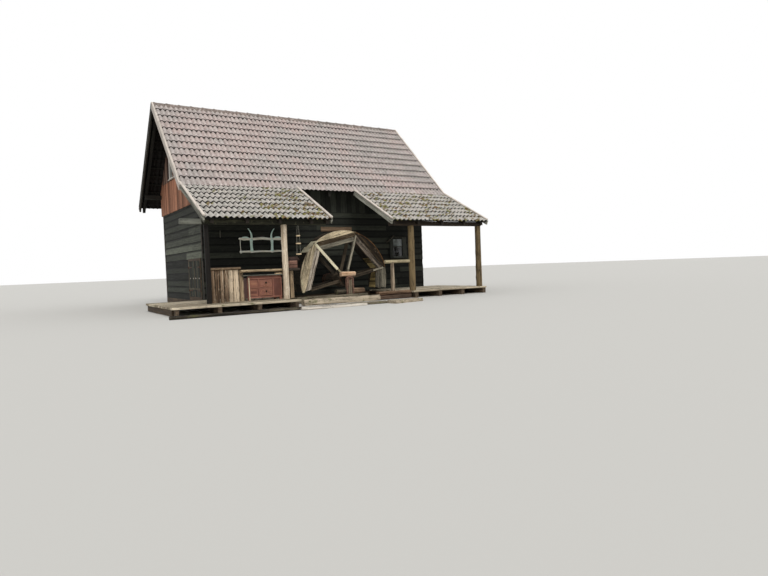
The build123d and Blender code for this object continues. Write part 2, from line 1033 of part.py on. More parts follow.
def stub(y, start, end, thickness):
    """Broken rim piece, cut square."""
    reach = inner_chord / cos(radians(30))
    edge = degrees(joint_gap / 2 / wheel_radius)
    with BuildSketch(Plane.XZ.offset(y)) as face:
        with BuildLine():
            ThreePointArc(
                on_wheel(wheel_radius, end),
                on_wheel(wheel_radius, (start + end) / 2),
                on_wheel(wheel_radius, start - edge),
            )
            Line(on_wheel(wheel_radius, start - edge), on_wheel(reach, start - edge))
            Line(on_wheel(reach, start - edge), on_wheel(inner_chord * 1.04, end))
            Line(on_wheel(inner_chord * 1.04, end), on_wheel(wheel_radius, end))
        make_face()
    extrude(face.sketch, amount=-thickness)


arm_angles = [arm_phase + 60 * i for i in range(4)]
ring_front = wheel_front
ring_back = wheel_front - wheel_width + ring_thickness
with BuildPart() as felloes_front:
    for start in arm_angles[:3]:
        felloe(ring_front, start, start + 60, ring_thickness)
    stub(ring_front, arm_phase, arm_phase - stub_angle, ring_thickness)
finish(felloes_front, "felloes_front")

with BuildPart() as felloes_back:
    for start in arm_angles[:3]:
        felloe(ring_back, start, start + 60, ring_thickness)
    stub(ring_back, arm_phase, arm_phase - stub_angle, ring_thickness)
finish(felloes_back, "felloes_back")

with BuildPart() as wheel_shaft:
    with BuildSketch(Plane.XZ.offset(wheel_front)):
        with Locations((wheel_x, wheel_height)):
            RegularPolygon(hub_radius, 6, major_radius=False, rotation=arm_phase + 30)
    extrude(amount=-wheel_width)
    with BuildSketch(Plane.XZ.offset(wheel_front + 30)):
        with Locations((wheel_x, wheel_height)):
            RegularPolygon(shaft_radius, 8)
    extrude(amount=-(wheel_front + 30 - half_depth - shaft_back_gap))
    with BuildSketch(Plane.XZ.offset(wheel_front + gudgeon_front_length)):
        with Locations((wheel_x, wheel_height)):
            Circle(gudgeon_radius)
    extrude(amount=-(wheel_front + gudgeon_front_length - inner_y + 20))
finish(wheel_shaft, "wheel_shaft")

arm_gap = 0.3
arm_tip = inner_chord / cos(radians(30)) - arm_gap * 2
arm_shoulder = arm_tip - arm_width / 2 * tan(radians(30))
arm_inner = hub_radius + arm_gap
with BuildPart() as wheel_arms:
    for y in (ring_front, ring_back):
        for angle in arm_angles:
            with BuildSketch(Plane.XZ.offset(y)) as face:
                with Locations(Location((wheel_x, wheel_height, 0), (0, 0, angle))):
                    with BuildLine(mode=Mode.PRIVATE) as outline:
                        Polyline(
                            (arm_inner, -arm_width / 2),
                            (arm_shoulder, -arm_width / 2),
                            (arm_tip, 0),
                            (arm_shoulder, arm_width / 2),
                            (arm_inner, arm_width / 2),
                            close=True,
                        )
                    add(make_face(outline.edges(), mode=Mode.PRIVATE))
            extrude(face.sketch, amount=-arm_thickness)
finish(wheel_arms, "wheel_arms")

# Boards that close the left of the rim outside and its right inside
board_front = ring_front - ring_thickness
board_back = ring_back
with BuildPart() as rim_boards:
    start, end = arm_angles[2], arm_angles[3]
    steps = 6
    for i in range(steps):
        a = start + 4 + (end - start - 4) * i / steps
        b = start + 4 + (end - start - 4) * (i + 1) / steps - 0.1
        along_y(
            [
                on_wheel(wheel_radius, a),
                on_wheel(wheel_radius, b),
                on_wheel(wheel_radius - rim_board_thickness, b),
                on_wheel(wheel_radius - rim_board_thickness, a),
            ],
            -board_front,
            -board_back,
        )
    first = on_wheel(inner_chord / cos(radians(30)), arm_phase)
    second = on_wheel(inner_chord / cos(radians(30)), arm_phase + 60)
    out = (cos(radians(arm_phase + 30)), sin(radians(arm_phase + 30)))
    for low, high in ((0.03, 0.2), (0.21, 0.38)):
        corners = [
            (first[0] + (second[0] - first[0]) * t, first[1] + (second[1] - first[1]) * t)
            for t in (low, high)
        ]
        outer = [
            (x + out[0] * rim_board_thickness, z + out[1] * rim_board_thickness)
            for x, z in reversed(corners)
        ]
        along_y(corners + outer, -board_front, -board_back)
    along_y(
        [
            on_wheel(inner_chord / cos(radians(30)), arm_phase - 1),
            on_wheel(inner_chord / cos(radians(30)) + rim_board_thickness, arm_phase - 1),
            on_wheel(inner_chord * 1.04 + rim_board_thickness, arm_phase - stub_angle),
            on_wheel(inner_chord * 1.04, arm_phase - stub_angle),
        ],
        -board_front,
        -board_back,
    )
    half_plate = (rim_plate_end_angle - rim_plate_start_angle) / 2
    tilt = radians(rim_plate_start_angle + half_plate)
    foot = on_wheel(wheel_radius + bearing_clearance, rim_plate_start_angle + half_plate)
    plate_length = 2 * wheel_radius * tan(radians(half_plate))
    tangent = Plane(
        (foot[0], -wheel_front + wheel_width / 2, foot[1]),
        x_dir=(-sin(tilt), 0, cos(tilt)),
        z_dir=(cos(tilt), 0, sin(tilt)),
    )
    with BuildSketch(tangent) as rim_plate:
        Rectangle(plate_length, wheel_width)
        with Locations((plate_length / 2 - rim_plate_notch / 2, wheel_width / 2 - rim_plate_notch)):
            Rectangle(rim_plate_notch, rim_plate_notch, mode=Mode.SUBTRACT)
    extrude(rim_plate.sketch, amount=rim_board_thickness)
finish(rim_boards, "rim_boards")

# Bearing
bearing_front = bearing_sill_front - 30
bearing_back = bearing_sill_back + 30
with BuildPart() as bearing_post:
    block(
        wheel_x - bearing_post_width / 2,
        wheel_x + bearing_post_width / 2,
        -bearing_front,
        -bearing_back,
        bearing_sill_height,
        wheel_height,
    )
    with BuildSketch(Plane.XZ.offset(bearing_front)):
        with Locations((wheel_x, wheel_height)):
            Circle(gudgeon_radius + bearing_clearance)
    extrude(amount=-(bearing_front - bearing_back), mode=Mode.SUBTRACT)
finish(bearing_post, "bearing_post")

strap_half = bearing_post_width / 2 + strap_thickness
strap_y = (bearing_front + bearing_back) / 2
with BuildPart() as bearing_strap:
    with BuildSketch(Plane.XZ.offset(strap_y + strap_width / 2)):
        with BuildLine():
            Line((wheel_x - strap_half, bearing_sill_height), (wheel_x - strap_half, wheel_height))
            ThreePointArc(
                (wheel_x - strap_half, wheel_height),
                (wheel_x, wheel_height + strap_half),
                (wheel_x + strap_half, wheel_height),
            )
            Line((wheel_x + strap_half, wheel_height), (wheel_x + strap_half, bearing_sill_height))
            Line(
                (wheel_x + strap_half, bearing_sill_height),
                (wheel_x + bearing_post_width / 2, bearing_sill_height),
            )
            Line(
                (wheel_x + bearing_post_width / 2, bearing_sill_height),
                (wheel_x + bearing_post_width / 2, wheel_height),
            )
            ThreePointArc(
                (wheel_x + bearing_post_width / 2, wheel_height),
                (wheel_x, wheel_height + bearing_post_width / 2),
                (wheel_x - bearing_post_width / 2, wheel_height),
            )
            Line(
                (wheel_x - bearing_post_width / 2, wheel_height),
                (wheel_x - bearing_post_width / 2, bearing_sill_height),
            )
            Line(
                (wheel_x - bearing_post_width / 2, bearing_sill_height),
                (wheel_x - strap_half, bearing_sill_height),
            )
        make_face()
    extrude(amount=-strap_width)
finish(bearing_strap, "bearing_strap")

cap_bottom = wheel_height + strap_half
with BuildPart() as cap_log:
    with BuildSketch(Plane.YZ.offset(wheel_x - cap_log_length / 2)):
        with Locations((-strap_y, cap_bottom + cap_log_radius * 0.85)):
            Circle(cap_log_radius)
    extrude(amount=cap_log_length)
    block(
        wheel_x - cap_log_length,
        wheel_x + cap_log_length,
        -strap_y - cap_log_radius * 2,
        -strap_y + cap_log_radius * 2,
        cap_bottom - 100,
        cap_bottom,
        mode=Mode.SUBTRACT,
    )
finish(cap_log, "cap_log")


# Counter
def half_log(x0, x1, y_front, depth, top, thickness):
    """Half log with its flat side up."""
    along_x(
        [
            (-y_front, top),
            (-y_front + depth, top),
            (-y_front + depth * 0.98, top - thickness * 0.55),
            (-y_front + depth * 0.9, top - thickness),
            (-y_front + depth * 0.1, top - thickness),
            (-y_front + depth * 0.02, top - thickness * 0.55),
        ],
        x0,
        x1,
    )


chest_x1 = log_post_x - chest_to_post
chest_x0 = chest_x1 - chest_width
left_leg_x = chest_x0 - chest_to_leg - counter_leg_size / 2
slab_left = corner_post_x
slab_right = left_leg_x - counter_end_overhang
counter_end = log_post_x + counter_beyond_post
under_counter = -counter_front + 60
with BuildPart() as counter_tops:
    half_log(
        slab_left - counter_end_overhang,
        slab_right + 30,
        counter_front,
        counter_log_depth,
        counter_left_top,
        counter_log_thickness,
    )
    half_log(
        slab_right + 30 + counter_slab_gap,
        counter_end,
        counter_front,
        counter_log_depth,
        counter_right_top,
        counter_log_thickness,
    )
finish(counter_tops, "counter_tops")

# Waney slabs: flat behind, with a round bark side to the front
slab_pitch = (slab_right - slab_left) / counter_slab_count
with BuildPart() as counter_slabs:
    for i in range(counter_slab_count):
        a = slab_left + i * slab_pitch + counter_slab_gap / 2
        b = slab_left + (i + 1) * slab_pitch - counter_slab_gap / 2
        back = under_counter + counter_slab_thickness
        with BuildSketch(Plane.XY.offset(floor_top)) as slab:
            with BuildLine():
                ThreePointArc(
                    (a, back - counter_slab_edge),
                    ((a + b) / 2, under_counter),
                    (b, back - counter_slab_edge),
                )
                Polyline(
                    (b, back - counter_slab_edge),
                    (b, back),
                    (a, back),
                    (a, back - counter_slab_edge),
                )
            make_face()
        extrude(slab.sketch, amount=counter_left_top - counter_log_thickness - floor_top)
finish(counter_slabs, "counter_slabs")

with BuildPart() as counter_legs:
    for x in (left_leg_x, counter_end - counter_leg_inset):
        block(
            x - counter_leg_size / 2,
            x + counter_leg_size / 2,
            -counter_front + 150,
            -counter_front + 150 + counter_leg_size,
            floor_top,
            counter_right_top - counter_log_thickness,
        )
finish(counter_legs, "counter_legs")

# Chest with two stacks of drawers, the left one narrower
chest_back = under_counter + chest_depth
chest_foot_top = floor_top + chest_foot
chest_top = floor_top + chest_height
with BuildPart() as chest:
    block(chest_x0, chest_x1, under_counter + drawer_proud, chest_back, chest_foot_top, chest_top)
    for x in (chest_x0, chest_x1 - chest_foot_width):
        for y in (under_counter + drawer_proud, chest_back - chest_foot_width):
            block(x, x + chest_foot_width, y, y + chest_foot_width, floor_top, chest_foot_top)
    split_x = chest_x0 + 0.36 * chest_width
    rail_z = 3 * drawer_gap
    row_height = (chest_top - chest_foot_top - 2 * rail_z + drawer_gap) / drawer_rows
    for a, b in ((chest_x0 + rail_z, split_x - drawer_gap), (split_x + drawer_gap, chest_x1 - rail_z)):
        for row in range(drawer_rows):
            z = chest_foot_top + rail_z + row * row_height
            block(a, b, under_counter, under_counter + drawer_proud, z, z + row_height - drawer_gap)
finish(chest, "chest")

# Yoke: a carved bar with a hump over each neck, a foot bar, two bows with horns and
# two thin end bars
yoke_x = log_post_x + yoke_shift
yoke_bottom = yoke_top - yoke_drop
yoke_face = half_depth + yoke_thickness
neck = 0.68 * yoke_length / 2
bow = 0.45 * yoke_length / 2
with BuildPart() as yoke:
    low_edge = yoke_top - yoke_hump - yoke_bar
    with BuildSketch(Plane.XZ.offset(yoke_face)) as bar:
        with BuildLine():
            for way in (-1, 1):
                end = (yoke_x + way * yoke_length / 2, low_edge + yoke_bar * 0.6)
                dip = (yoke_x + way * (2 * neck - yoke_length / 2), low_edge + yoke_bar)
                ThreePointArc(end, (yoke_x + way * neck, yoke_top), dip)
                Line(dip, (yoke_x, low_edge + yoke_bar))
                Line(end, (end[0], low_edge))
                Line((end[0], low_edge), (yoke_x + way * (neck + 110), low_edge))
                ThreePointArc(
                    (yoke_x + way * (neck + 110), low_edge),
                    (yoke_x + way * neck, low_edge + yoke_hump * 0.7),
                    (yoke_x + way * (neck - 110), low_edge),
                )
                Line((yoke_x + way * (neck - 110), low_edge), (yoke_x, low_edge))
        make_face()
    extrude(bar.sketch, amount=-yoke_thickness)
    with BuildSketch(Plane.XZ.offset(yoke_face)) as foot_bar:
        with Locations((yoke_x, yoke_bottom + yoke_foot_bar / 2)):
            SlotOverall(yoke_length * 0.98, yoke_foot_bar)
    extrude(foot_bar.sketch, amount=-yoke_thickness)
    for way in (-1, 1):
        end_x = yoke_x + way * (yoke_length / 2 - 50)
        block(
            end_x - yoke_end_bar / 2,
            end_x + yoke_end_bar / 2,
            -yoke_face,
            -half_depth,
            yoke_bottom + yoke_foot_bar / 2,
            low_edge + yoke_bar / 2,
        )
        bow_x = yoke_x + way * bow
        block(
            bow_x - yoke_hook_width / 2,
            bow_x + yoke_hook_width / 2,
            -yoke_face,
            -half_depth,
            yoke_bottom + yoke_foot_bar / 2,
            low_edge + yoke_bar / 2,
        )
        root = low_edge + yoke_bar / 2
        tip = (bow_x + way * yoke_horn_lean, yoke_top + yoke_horn_rise)
        with BuildSketch(Plane.XZ.offset(yoke_face)) as horn:
            with BuildLine():
                ThreePointArc(
                    (bow_x - way * yoke_hook_width / 2, root),
                    (bow_x - way * yoke_hook_width * 0.45, (root + tip[1]) / 2),
                    tip,
                )
                ThreePointArc(
                    tip,
                    (bow_x + way * yoke_hook_width * 0.32, (root + tip[1]) / 2),
                    (bow_x + way * yoke_hook_width / 2, root),
                )
                Line((bow_x + way * yoke_hook_width / 2, root), (bow_x - way * yoke_hook_width / 2, root))
            make_face()
        extrude(horn.sketch, amount=-yoke_thickness)
finish(yoke, "yoke")

# Rail
rail_share = (rail_height - floor_top) / (porch_beam_underside - floor_top)
post_radius_at_rail = round_post_radius * (1 - (1 - post_taper) * rail_share)
rail_end = round_post_x - post_radius_at_rail - bearing_clearance
with BuildPart() as rail:
    with BuildSketch(Plane.YZ.offset(rail_start)):
        with Locations((-porch_post_line, rail_height - rail_radius)):
            Circle(rail_radius)
    extrude(amount=rail_end - rail_start)
    with BuildSketch(Plane.XY.offset(rail_sill_top)):
        with Locations((rail_start + rail_post_inset, -porch_post_line)):
            Circle(rail_post_radius)
    extrude(amount=rail_height - rail_radius - rail_sill_top)
finish(rail, "rail")

shelf_x = log_post_x + shelf_shift
with BuildPart() as hanging_shelves:
    for z in shelf_heights:
        with BuildSketch(Plane.XY.offset(z)) as disc:
            with Locations((shelf_x, -porch_post_line)):
                Circle(shelf_radius)
        extrude(disc.sketch, amount=shelf_thickness)
    for x in (shelf_x - shelf_radius * 0.7, shelf_x + shelf_radius * 0.7):
        with BuildSketch(Plane.XY.offset(shelf_heights[0])) as line:
            with Locations((x, -porch_post_line)):
                Rectangle(shelf_cord, shelf_cord)
        extrude(line.sketch, amount=porch_beam_underside - shelf_heights[0])
finish(hanging_shelves, "hanging_shelves")
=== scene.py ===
"""Dresses the timber watermill: tiles, boards, logs, the weathered wheel, the porch
things, their finishes, and the stage that shows them."""
import math

import bmesh
import bpy
import numpy as np
from bpy.props import FloatProperty, FloatVectorProperty, IntProperty, PointerProperty
from bpy.types import Operator, Panel, PropertyGroup
from mathutils import Matrix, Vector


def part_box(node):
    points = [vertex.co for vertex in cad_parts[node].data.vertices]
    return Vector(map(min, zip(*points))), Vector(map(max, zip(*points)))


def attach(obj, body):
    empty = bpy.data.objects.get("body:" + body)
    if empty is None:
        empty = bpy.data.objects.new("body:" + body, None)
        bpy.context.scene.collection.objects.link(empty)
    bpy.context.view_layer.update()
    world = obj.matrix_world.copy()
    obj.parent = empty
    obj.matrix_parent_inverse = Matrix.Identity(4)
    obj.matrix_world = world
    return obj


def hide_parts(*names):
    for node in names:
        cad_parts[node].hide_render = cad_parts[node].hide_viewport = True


bl_info = {
    "name": "Timber watermill",
    "version": (1, 0, 0),
    "blender": (4, 5, 0),
    "location": "View3D > Sidebar > Watermill",
    "description": "Tiles, boards, logs, weathered wheel and finishes of a timber watermill",
    "category": "Add Mesh",
}

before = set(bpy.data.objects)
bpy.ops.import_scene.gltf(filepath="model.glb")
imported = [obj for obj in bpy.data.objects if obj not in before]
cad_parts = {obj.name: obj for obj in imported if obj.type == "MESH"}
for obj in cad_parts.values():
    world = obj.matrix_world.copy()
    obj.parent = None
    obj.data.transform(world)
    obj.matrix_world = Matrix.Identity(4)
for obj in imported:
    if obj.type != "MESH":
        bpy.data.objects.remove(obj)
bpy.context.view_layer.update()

# Lines of the house that several pieces share, in metres
EAVE_FRONT = -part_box("roof_front")[0].y
EAVE_Z = 3.48
RIDGE_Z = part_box("roof_front")[1].z
ROOF_ANGLE = math.atan2(RIDGE_Z - EAVE_Z, EAVE_FRONT)
PORCH_EAVE = -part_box("porch_roof_left")[0].y
PORCH_EAVE_Z = 2.37
PORCH_ANGLE = math.atan2(EAVE_Z - PORCH_EAVE_Z, PORCH_EAVE - EAVE_FRONT)
BED = 0.05
HUB = np.array([0.0, 0.65])
WHEEL_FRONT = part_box("felloes_front")[0].y
WHEEL_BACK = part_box("felloes_back")[1].y
RING = 0.07
ARM_ANGLES = (13, 73, 133, 193)
FRONT_WINDOW = (2.62, 3.14, -2.54, -2.45, 1.28, 2.0)
# Wheel: reach of the rim, where its boards turn from straight to round, and their gap in degrees;
# radius of the shaft and its gudgeon, and half the hole in the wall's boards
RIM_INNER, RIM_OUTER, FLAT_BELOW, RIM_GAP = 1.06, 1.5, 1.4, 0.25
SHAFT, GUDGEON, SHAFT_HOLE = 0.19, 0.0318, 0.034
# Where the shaft ends in the house, and the bolts by an arm, as distance and degrees from the arm
SHAFT_BACK = -2.58
BOLTS = ((1.12, -3.5), (1.12, 3.5), (1.33, -2.5), (1.33, 2.5))
# Tiles: corners across one tile, its thickness, how far its tail stands up, and how far tiles
# stray along the eave, up the slope, outwards and in roll
TILE_STEPS, TILE_THICK, TILE_KICK = 20, 0.024, 0.028
TILE_SPREAD = (0.0014, 0.0035, 0.0018, 0.0016)
# Ridge: how far one tile lies from the next; gables: thickness of their boards
RIDGE_PITCH, GABLE_THICK = 0.385, 0.022
# Walls: board heights, where the front boards turn upright, the longest board, and where the thick
# planks lie behind the wall's face
RIGHT_BOARD, LEFT_BOARD, GREY_BOARD, UPRIGHT_FROM = 0.225, 0.21, 0.235, 2.87
LONGEST_BOARD, PLANKS_FROM, PLANKS_TO, PLANK_HEIGHT = 4.6, 0.03, 0.12, 0.24
# Turned and forged things, as radius and place along the axis, and the outline of a hinge's strap
HINGE_EYE = ((0.0074, 0.0), (0.0112, 0.0), (0.0118, 0.0008), (0.0118, 0.0392), (0.0112, 0.04), (0.0074, 0.04))
STRAP = ((0.0, 0.0), (0.30, 0.006), (0.42, 0.02), (0.30, 0.034), (0.0, 0.04))
RIVET = ((0.008, 0), (0.0065, -0.0022), (0.002, -0.0028))
KNOB = ((0.020, 0.012), (0.018, 0.004), (0.024, -0.004), (0.025, -0.010), (0.018, -0.016), (0.004, -0.019))
# Low door: its face, and where its two leaves start and end
DOOR_FACE, LEAF_FRONT, LEAF_REAR = -3.98, (-2.214, -1.573), (-1.567, -0.926)
# Counter: heights of its tops, then tone and width of each upright slab
HIGH_TOP, LOW_TOP = 1.12, 1.04
SLAB_TONES = (0.22, 0.4, 0.3, 0.5, 0.42, 0.85, 0.95)
SLAB_WIDTHS = (0.11, 0.1, 0.115, 0.105, 0.11, 0.125, 0.145)
# Hanging discs, as height and radius, and the corners of the step
DISCS = ((1.4, 0.075), (1.69, 0.066), (1.9, 0.056))
STEP_CORNERS = ((-0.18, -6.9), (0.88, -6.65), (0.9, -6.3), (-0.16, -6.4))
# Edges sharper than this stay sharp
SHARP = math.radians(38)
# Stage: half the floor's width, the camera's focal length and width in points, its place and its aim
FLOOR_REACH, FOCAL, PICTURE_WIDTH = 160, 577, 768
EYE, AIM = (-8.554, -19.518, 0.98), (32.4, 2.1, 2.21)


def circle(sides):
    """Angles of the corners of a regular polygon."""
    return np.linspace(0, 2 * math.pi, sides, endpoint=False)


def oval(wide, deep, sides=12):
    """Section of a round or flattened rod, from half its width and depth."""
    turn = circle(sides)
    return np.column_stack([wide * np.cos(turn), deep * np.sin(turn)])


def heading(degrees):
    """Way from the hub at an angle, as x and z."""
    turn = math.radians(degrees)
    return np.array([math.cos(turn), math.sin(turn)])


def colour(code):
    """Linear colour from a two-digit-a-channel screen code."""
    parts = [int(code[i : i + 2], 16) / 255 for i in (0, 2, 4)]
    return tuple(p / 12.92 if p <= 0.04045 else ((p + 0.055) / 1.055) ** 2.4 for p in parts)


def colour_prop(name, description, code):
    """Colour a user may change."""
    return FloatVectorProperty(
        name=name, description=description, subtype="COLOR", min=0, max=1, default=colour(code)
    )


def length_prop(name, description, default, low=0.0, high=2.0):
    """Length in metres a user may change."""
    return FloatProperty(
        name=name, description=description, default=default, min=low, max=high, unit="LENGTH"
    )


class WatermillRoof(PropertyGroup):
    tile_cover: length_prop("Tile cover", "Width that one tile covers", 0.3, 0.15, 0.6)
    tile_wave: length_prop("Wave height", "Height of a tile's wave", 0.045, 0.005, 0.06)
    main_courses: IntProperty(
        name="Main courses", description="Rows of tiles on a main slope", default=12, min=4, max=30)
    porch_courses: IntProperty(name="Porch courses", description="Rows of tiles on a porch", default=7, min=2, max=20)
    main_tile: colour_prop("Main tile", "Taupe of the main roof tiles", "b3a8a3")
    porch_tile: colour_prop("Porch tile", "Grey of the older porch tiles", "bcb8b0")
    moss: FloatProperty(
        name="Moss", description="Share of the porch tiles that moss covers", default=0.5, min=0, max=1,
        subtype="FACTOR")


class WatermillTimber(PropertyGroup):
    board_height: length_prop("Board height", "Height of one wall board", 0.205, 0.08, 0.5)
    gable_board: length_prop("Gable board", "Width of one gable board", 0.135, 0.05, 0.4)
    deck_board: length_prop("Deck board", "Width of one deck board", 0.18, 0.05, 0.4)
    dark: colour_prop("Dark boards", "Near-black boards of the porch walls", "282a24")
    grey: colour_prop("Grey boards", "Weathered boards of the gable wall", "575a4f")
    red: colour_prop("Gable boards", "Red-brown boards of the gables", "9e6d54")
    pale: colour_prop("Pale boards", "Silvered boards along the roof edges", "c8beb4")


class WatermillWheel(PropertyGroup):
    tan: colour_prop("Rim boards", "Dry, light side of the wheel timber", "b9a98c")
    grey: colour_prop("Wheel grey", "Weathered grey of the arms and rim", "7d7768")
    dark: colour_prop("Wheel dark", "Wet, dark side of the wheel timber", "322b22")
    wear: length_prop("Wear", "How far weather has eaten the timber", 0.006, 0.0, 0.02)


class WatermillStage(PropertyGroup):
    floor: colour_prop("Floor", "Colour of the floor", "c9c7c2")
    daylight: FloatProperty(name="Daylight", description="Strength of the even light", default=0.78, min=0, max=3)
    sun: FloatProperty(name="Soft sun", description="Strength of the soft lamp", default=1.35, min=0, max=8)


class Bench:
    """Gathers the parts of one piece: their corners, faces, grain, tone and finish."""

    def __init__(self, seed):
        self.chance = np.random.default_rng(seed)
        self.points, self.faces, self.kinds = [], [], []
        self.grain, self.tone, self.lie, self.finishes = [], [], [], []
        self.count = 0

    def add(self, points, faces, grain, tone, finish, lie=None):
        """Adds corners and faces; grain is metres along, across and through the wood, lie the place on a tile."""
        if finish not in self.finishes:
            self.finishes.append(finish)
        kind = self.finishes.index(finish)
        points = np.asarray(points, float).reshape(-1, 3)
        shift = self.chance.uniform(-40, 40, 3)
        self.points.append(points)
        self.grain.append(np.asarray(grain, float).reshape(-1, 3) + shift)
        self.tone.append(np.full(len(points), tone))
        self.lie.append(np.zeros((len(points), 3)) if lie is None else np.asarray(lie, float).reshape(-1, 3))
        self.faces.extend([tuple(int(i) + self.count for i in f) for f in faces])
        self.kinds.extend([kind] * len(faces))
        self.count += len(points)

    def rings(self, rings, finish, tone=None, grain=None, lie=None):
        """Closed skin over rings of corners, with a cap at each end."""
        rings = np.asarray(rings, float)
        n, m = rings.shape[:2]
        at = np.arange(n * m).reshape(n, m)
        faces = []
        for i in range(n - 1):
            a, b = at[i], at[i + 1]
            for j in range(m):
                k = (j + 1) % m
                faces.append((a[j], b[j], b[k], a[k]))
        faces.append(tuple(at[0]))
        faces.append(tuple(at[-1][::-1]))
        tone = self.chance.uniform(0, 1) if tone is None else tone
        self.add(rings, faces, rings if grain is None else grain, tone, finish, lie)

    def sweep(self, line, section, finish, up=(0, 0, 1), rough=0.0, tone=None, scale=None):
        """Runs a section along a line of points."""
        line, section = np.asarray(line, float), np.asarray(section, float)
        ahead = np.gradient(line, axis=0)
        ahead /= np.linalg.norm(ahead, axis=1)[:, None]
        side = np.cross(ahead, np.asarray(up, float))
        side /= np.linalg.norm(side, axis=1)[:, None]
        top = np.cross(side, ahead)
        n, m = len(line), len(section)
        size = np.ones(n) if scale is None else np.asarray(scale, float)
        flat = section[None] * size[:, None, None]
        if rough:
            flat = flat + rough * self.wander((n, m, 2))
        rings = line[:, None] + flat[..., :1] * side[:, None] + flat[..., 1:] * top[:, None]
        run = np.concatenate([[0], np.cumsum(np.linalg.norm(np.diff(line, axis=0), axis=1))])
        grain = np.concatenate([np.repeat(run[:, None, None], m, 1), flat], axis=2)
        self.rings(rings, finish, tone, grain)

    def wander(self, shape):
        """Soft random numbers, alike from one ring to the next."""
        raw = self.chance.normal(0, 1, shape)
        soft = raw.copy()
        soft[1:] += raw[:-1]
        soft[:-1] += raw[1:]
        return soft / 1.7

    def timber(self, start, end, width, depth, finish, up=(0, 0, 1), edge=0.006, rough=0.0015,
               step=0.4, tone=None):
        """Squared timber or board between two points; width lies across up."""
        start, end = np.asarray(start, float), np.asarray(end, float)
        length = float(np.linalg.norm(end - start))
        n = max(2, int(length / step) + 1)
        share = np.linspace(0, 1, n)[:, None]
        line = start + (end - start) * share
        a, b, c = width / 2, depth / 2, min(edge, width / 3, depth / 3)
        section = [
            (a - c, -b), (a, -b + c), (a, b - c), (a - c, b), (-a + c, b), (-a, b - c), (-a, -b + c), (-a + c, -b)]
        self.sweep(line, section, finish, up, rough, tone)

    def level(self, x0, x1, y, z, width, depth, finish, **looks):
        """Timber that lies along the house."""
        self.timber((x0, y, z), (x1, y, z), width, depth, finish, **looks)

    def cross(self, x, y0, y1, z, width, depth, finish, **looks):
        """Timber that lies across the house."""
        self.timber((x, y0, z), (x, y1, z), width, depth, finish, **looks)

    def upright(self, x, y, z0, z1, width, depth, finish, up=(0, 1, 0), **looks):
        """Timber that stands."""
        self.timber((x, y, z0), (x, y, z1), width, depth, finish, up, **looks)

    def log(self, start, end, first, last, finish, sides=18, step=0.12, knots=0, lumps=0.03,
            up=(0.3, 1, 0.2), tone=None, flat_top=None):
        """Round log with soft lumps and knots; flat_top cuts it level at that share of its radius."""
        start, end = np.asarray(start, float), np.asarray(end, float)
        length = float(np.linalg.norm(end - start))
        n = max(4, int(length / step) + 1)
        share = np.linspace(0, 1, n)
        line = start + (end - start) * share[:, None]
        turn = circle(sides)
        radius = np.repeat((first + (last - first) * share)[:, None], sides, 1)
        for wave in (1, 2, 3, 5):
            phase, beat = self.chance.uniform(0, 6.28, 2), self.chance.uniform(0.8, 3.5)
            bend = 1.3 * np.sin(beat * share[:, None] * length + phase[1])
            radius *= 1 + lumps / wave * np.cos(wave * turn[None] + phase[0] + bend)
        for _ in range(knots):
            at, angle = self.chance.uniform(0.05, 0.95), self.chance.uniform(0, 6.28)
            off = (turn[None] - angle + math.pi) % (2 * math.pi) - math.pi
            away = ((share - at) * length / 0.07)[:, None] ** 2 + (off / 0.4) ** 2
            radius *= 1 + 0.11 * np.exp(-away)
        ahead = (end - start) / length
        side = np.cross(ahead, np.asarray(up, float))
        side /= np.linalg.norm(side)
        top = np.cross(side, ahead)
        across, through = radius * np.cos(turn), radius * np.sin(turn)
        if flat_top is not None:
            through = np.minimum(through, first * flat_top)
        rings = line[:, None] + across[..., None] * side + through[..., None] * top
        grain = np.stack([np.repeat((share * length)[:, None], sides, 1), across, through], axis=2)
        self.rings(rings, finish, tone, grain)

    def plate(self, outline, origin, along, across, thickness, finish, tone=None, edge=0.004, grain="along"):
        """Flat plate with a convex outline given in metres along and across from an origin."""
        outline = np.asarray(outline, float)
        along, across = np.asarray(along, float), np.asarray(across, float)
        out = np.cross(along, across)
        centre = outline.mean(0)
        away = outline - centre
        inner = centre + away * (1 - edge / np.maximum(np.linalg.norm(away, axis=1), 1e-6))[:, None]
        layers = [(outline, 0), (outline, thickness - edge), (inner, thickness)]
        rings = np.array([
            np.asarray(origin) + flat[:, :1] * along + flat[:, 1:] * across + height * out
            for flat, height in layers
        ])
        order = (0, 1) if grain == "along" else (1, 0)
        run = np.array([
            np.column_stack([flat[:, order[0]], flat[:, order[1]], np.full(len(flat), height)])
            for flat, height in layers
        ])
        self.rings(rings, finish, tone, run)

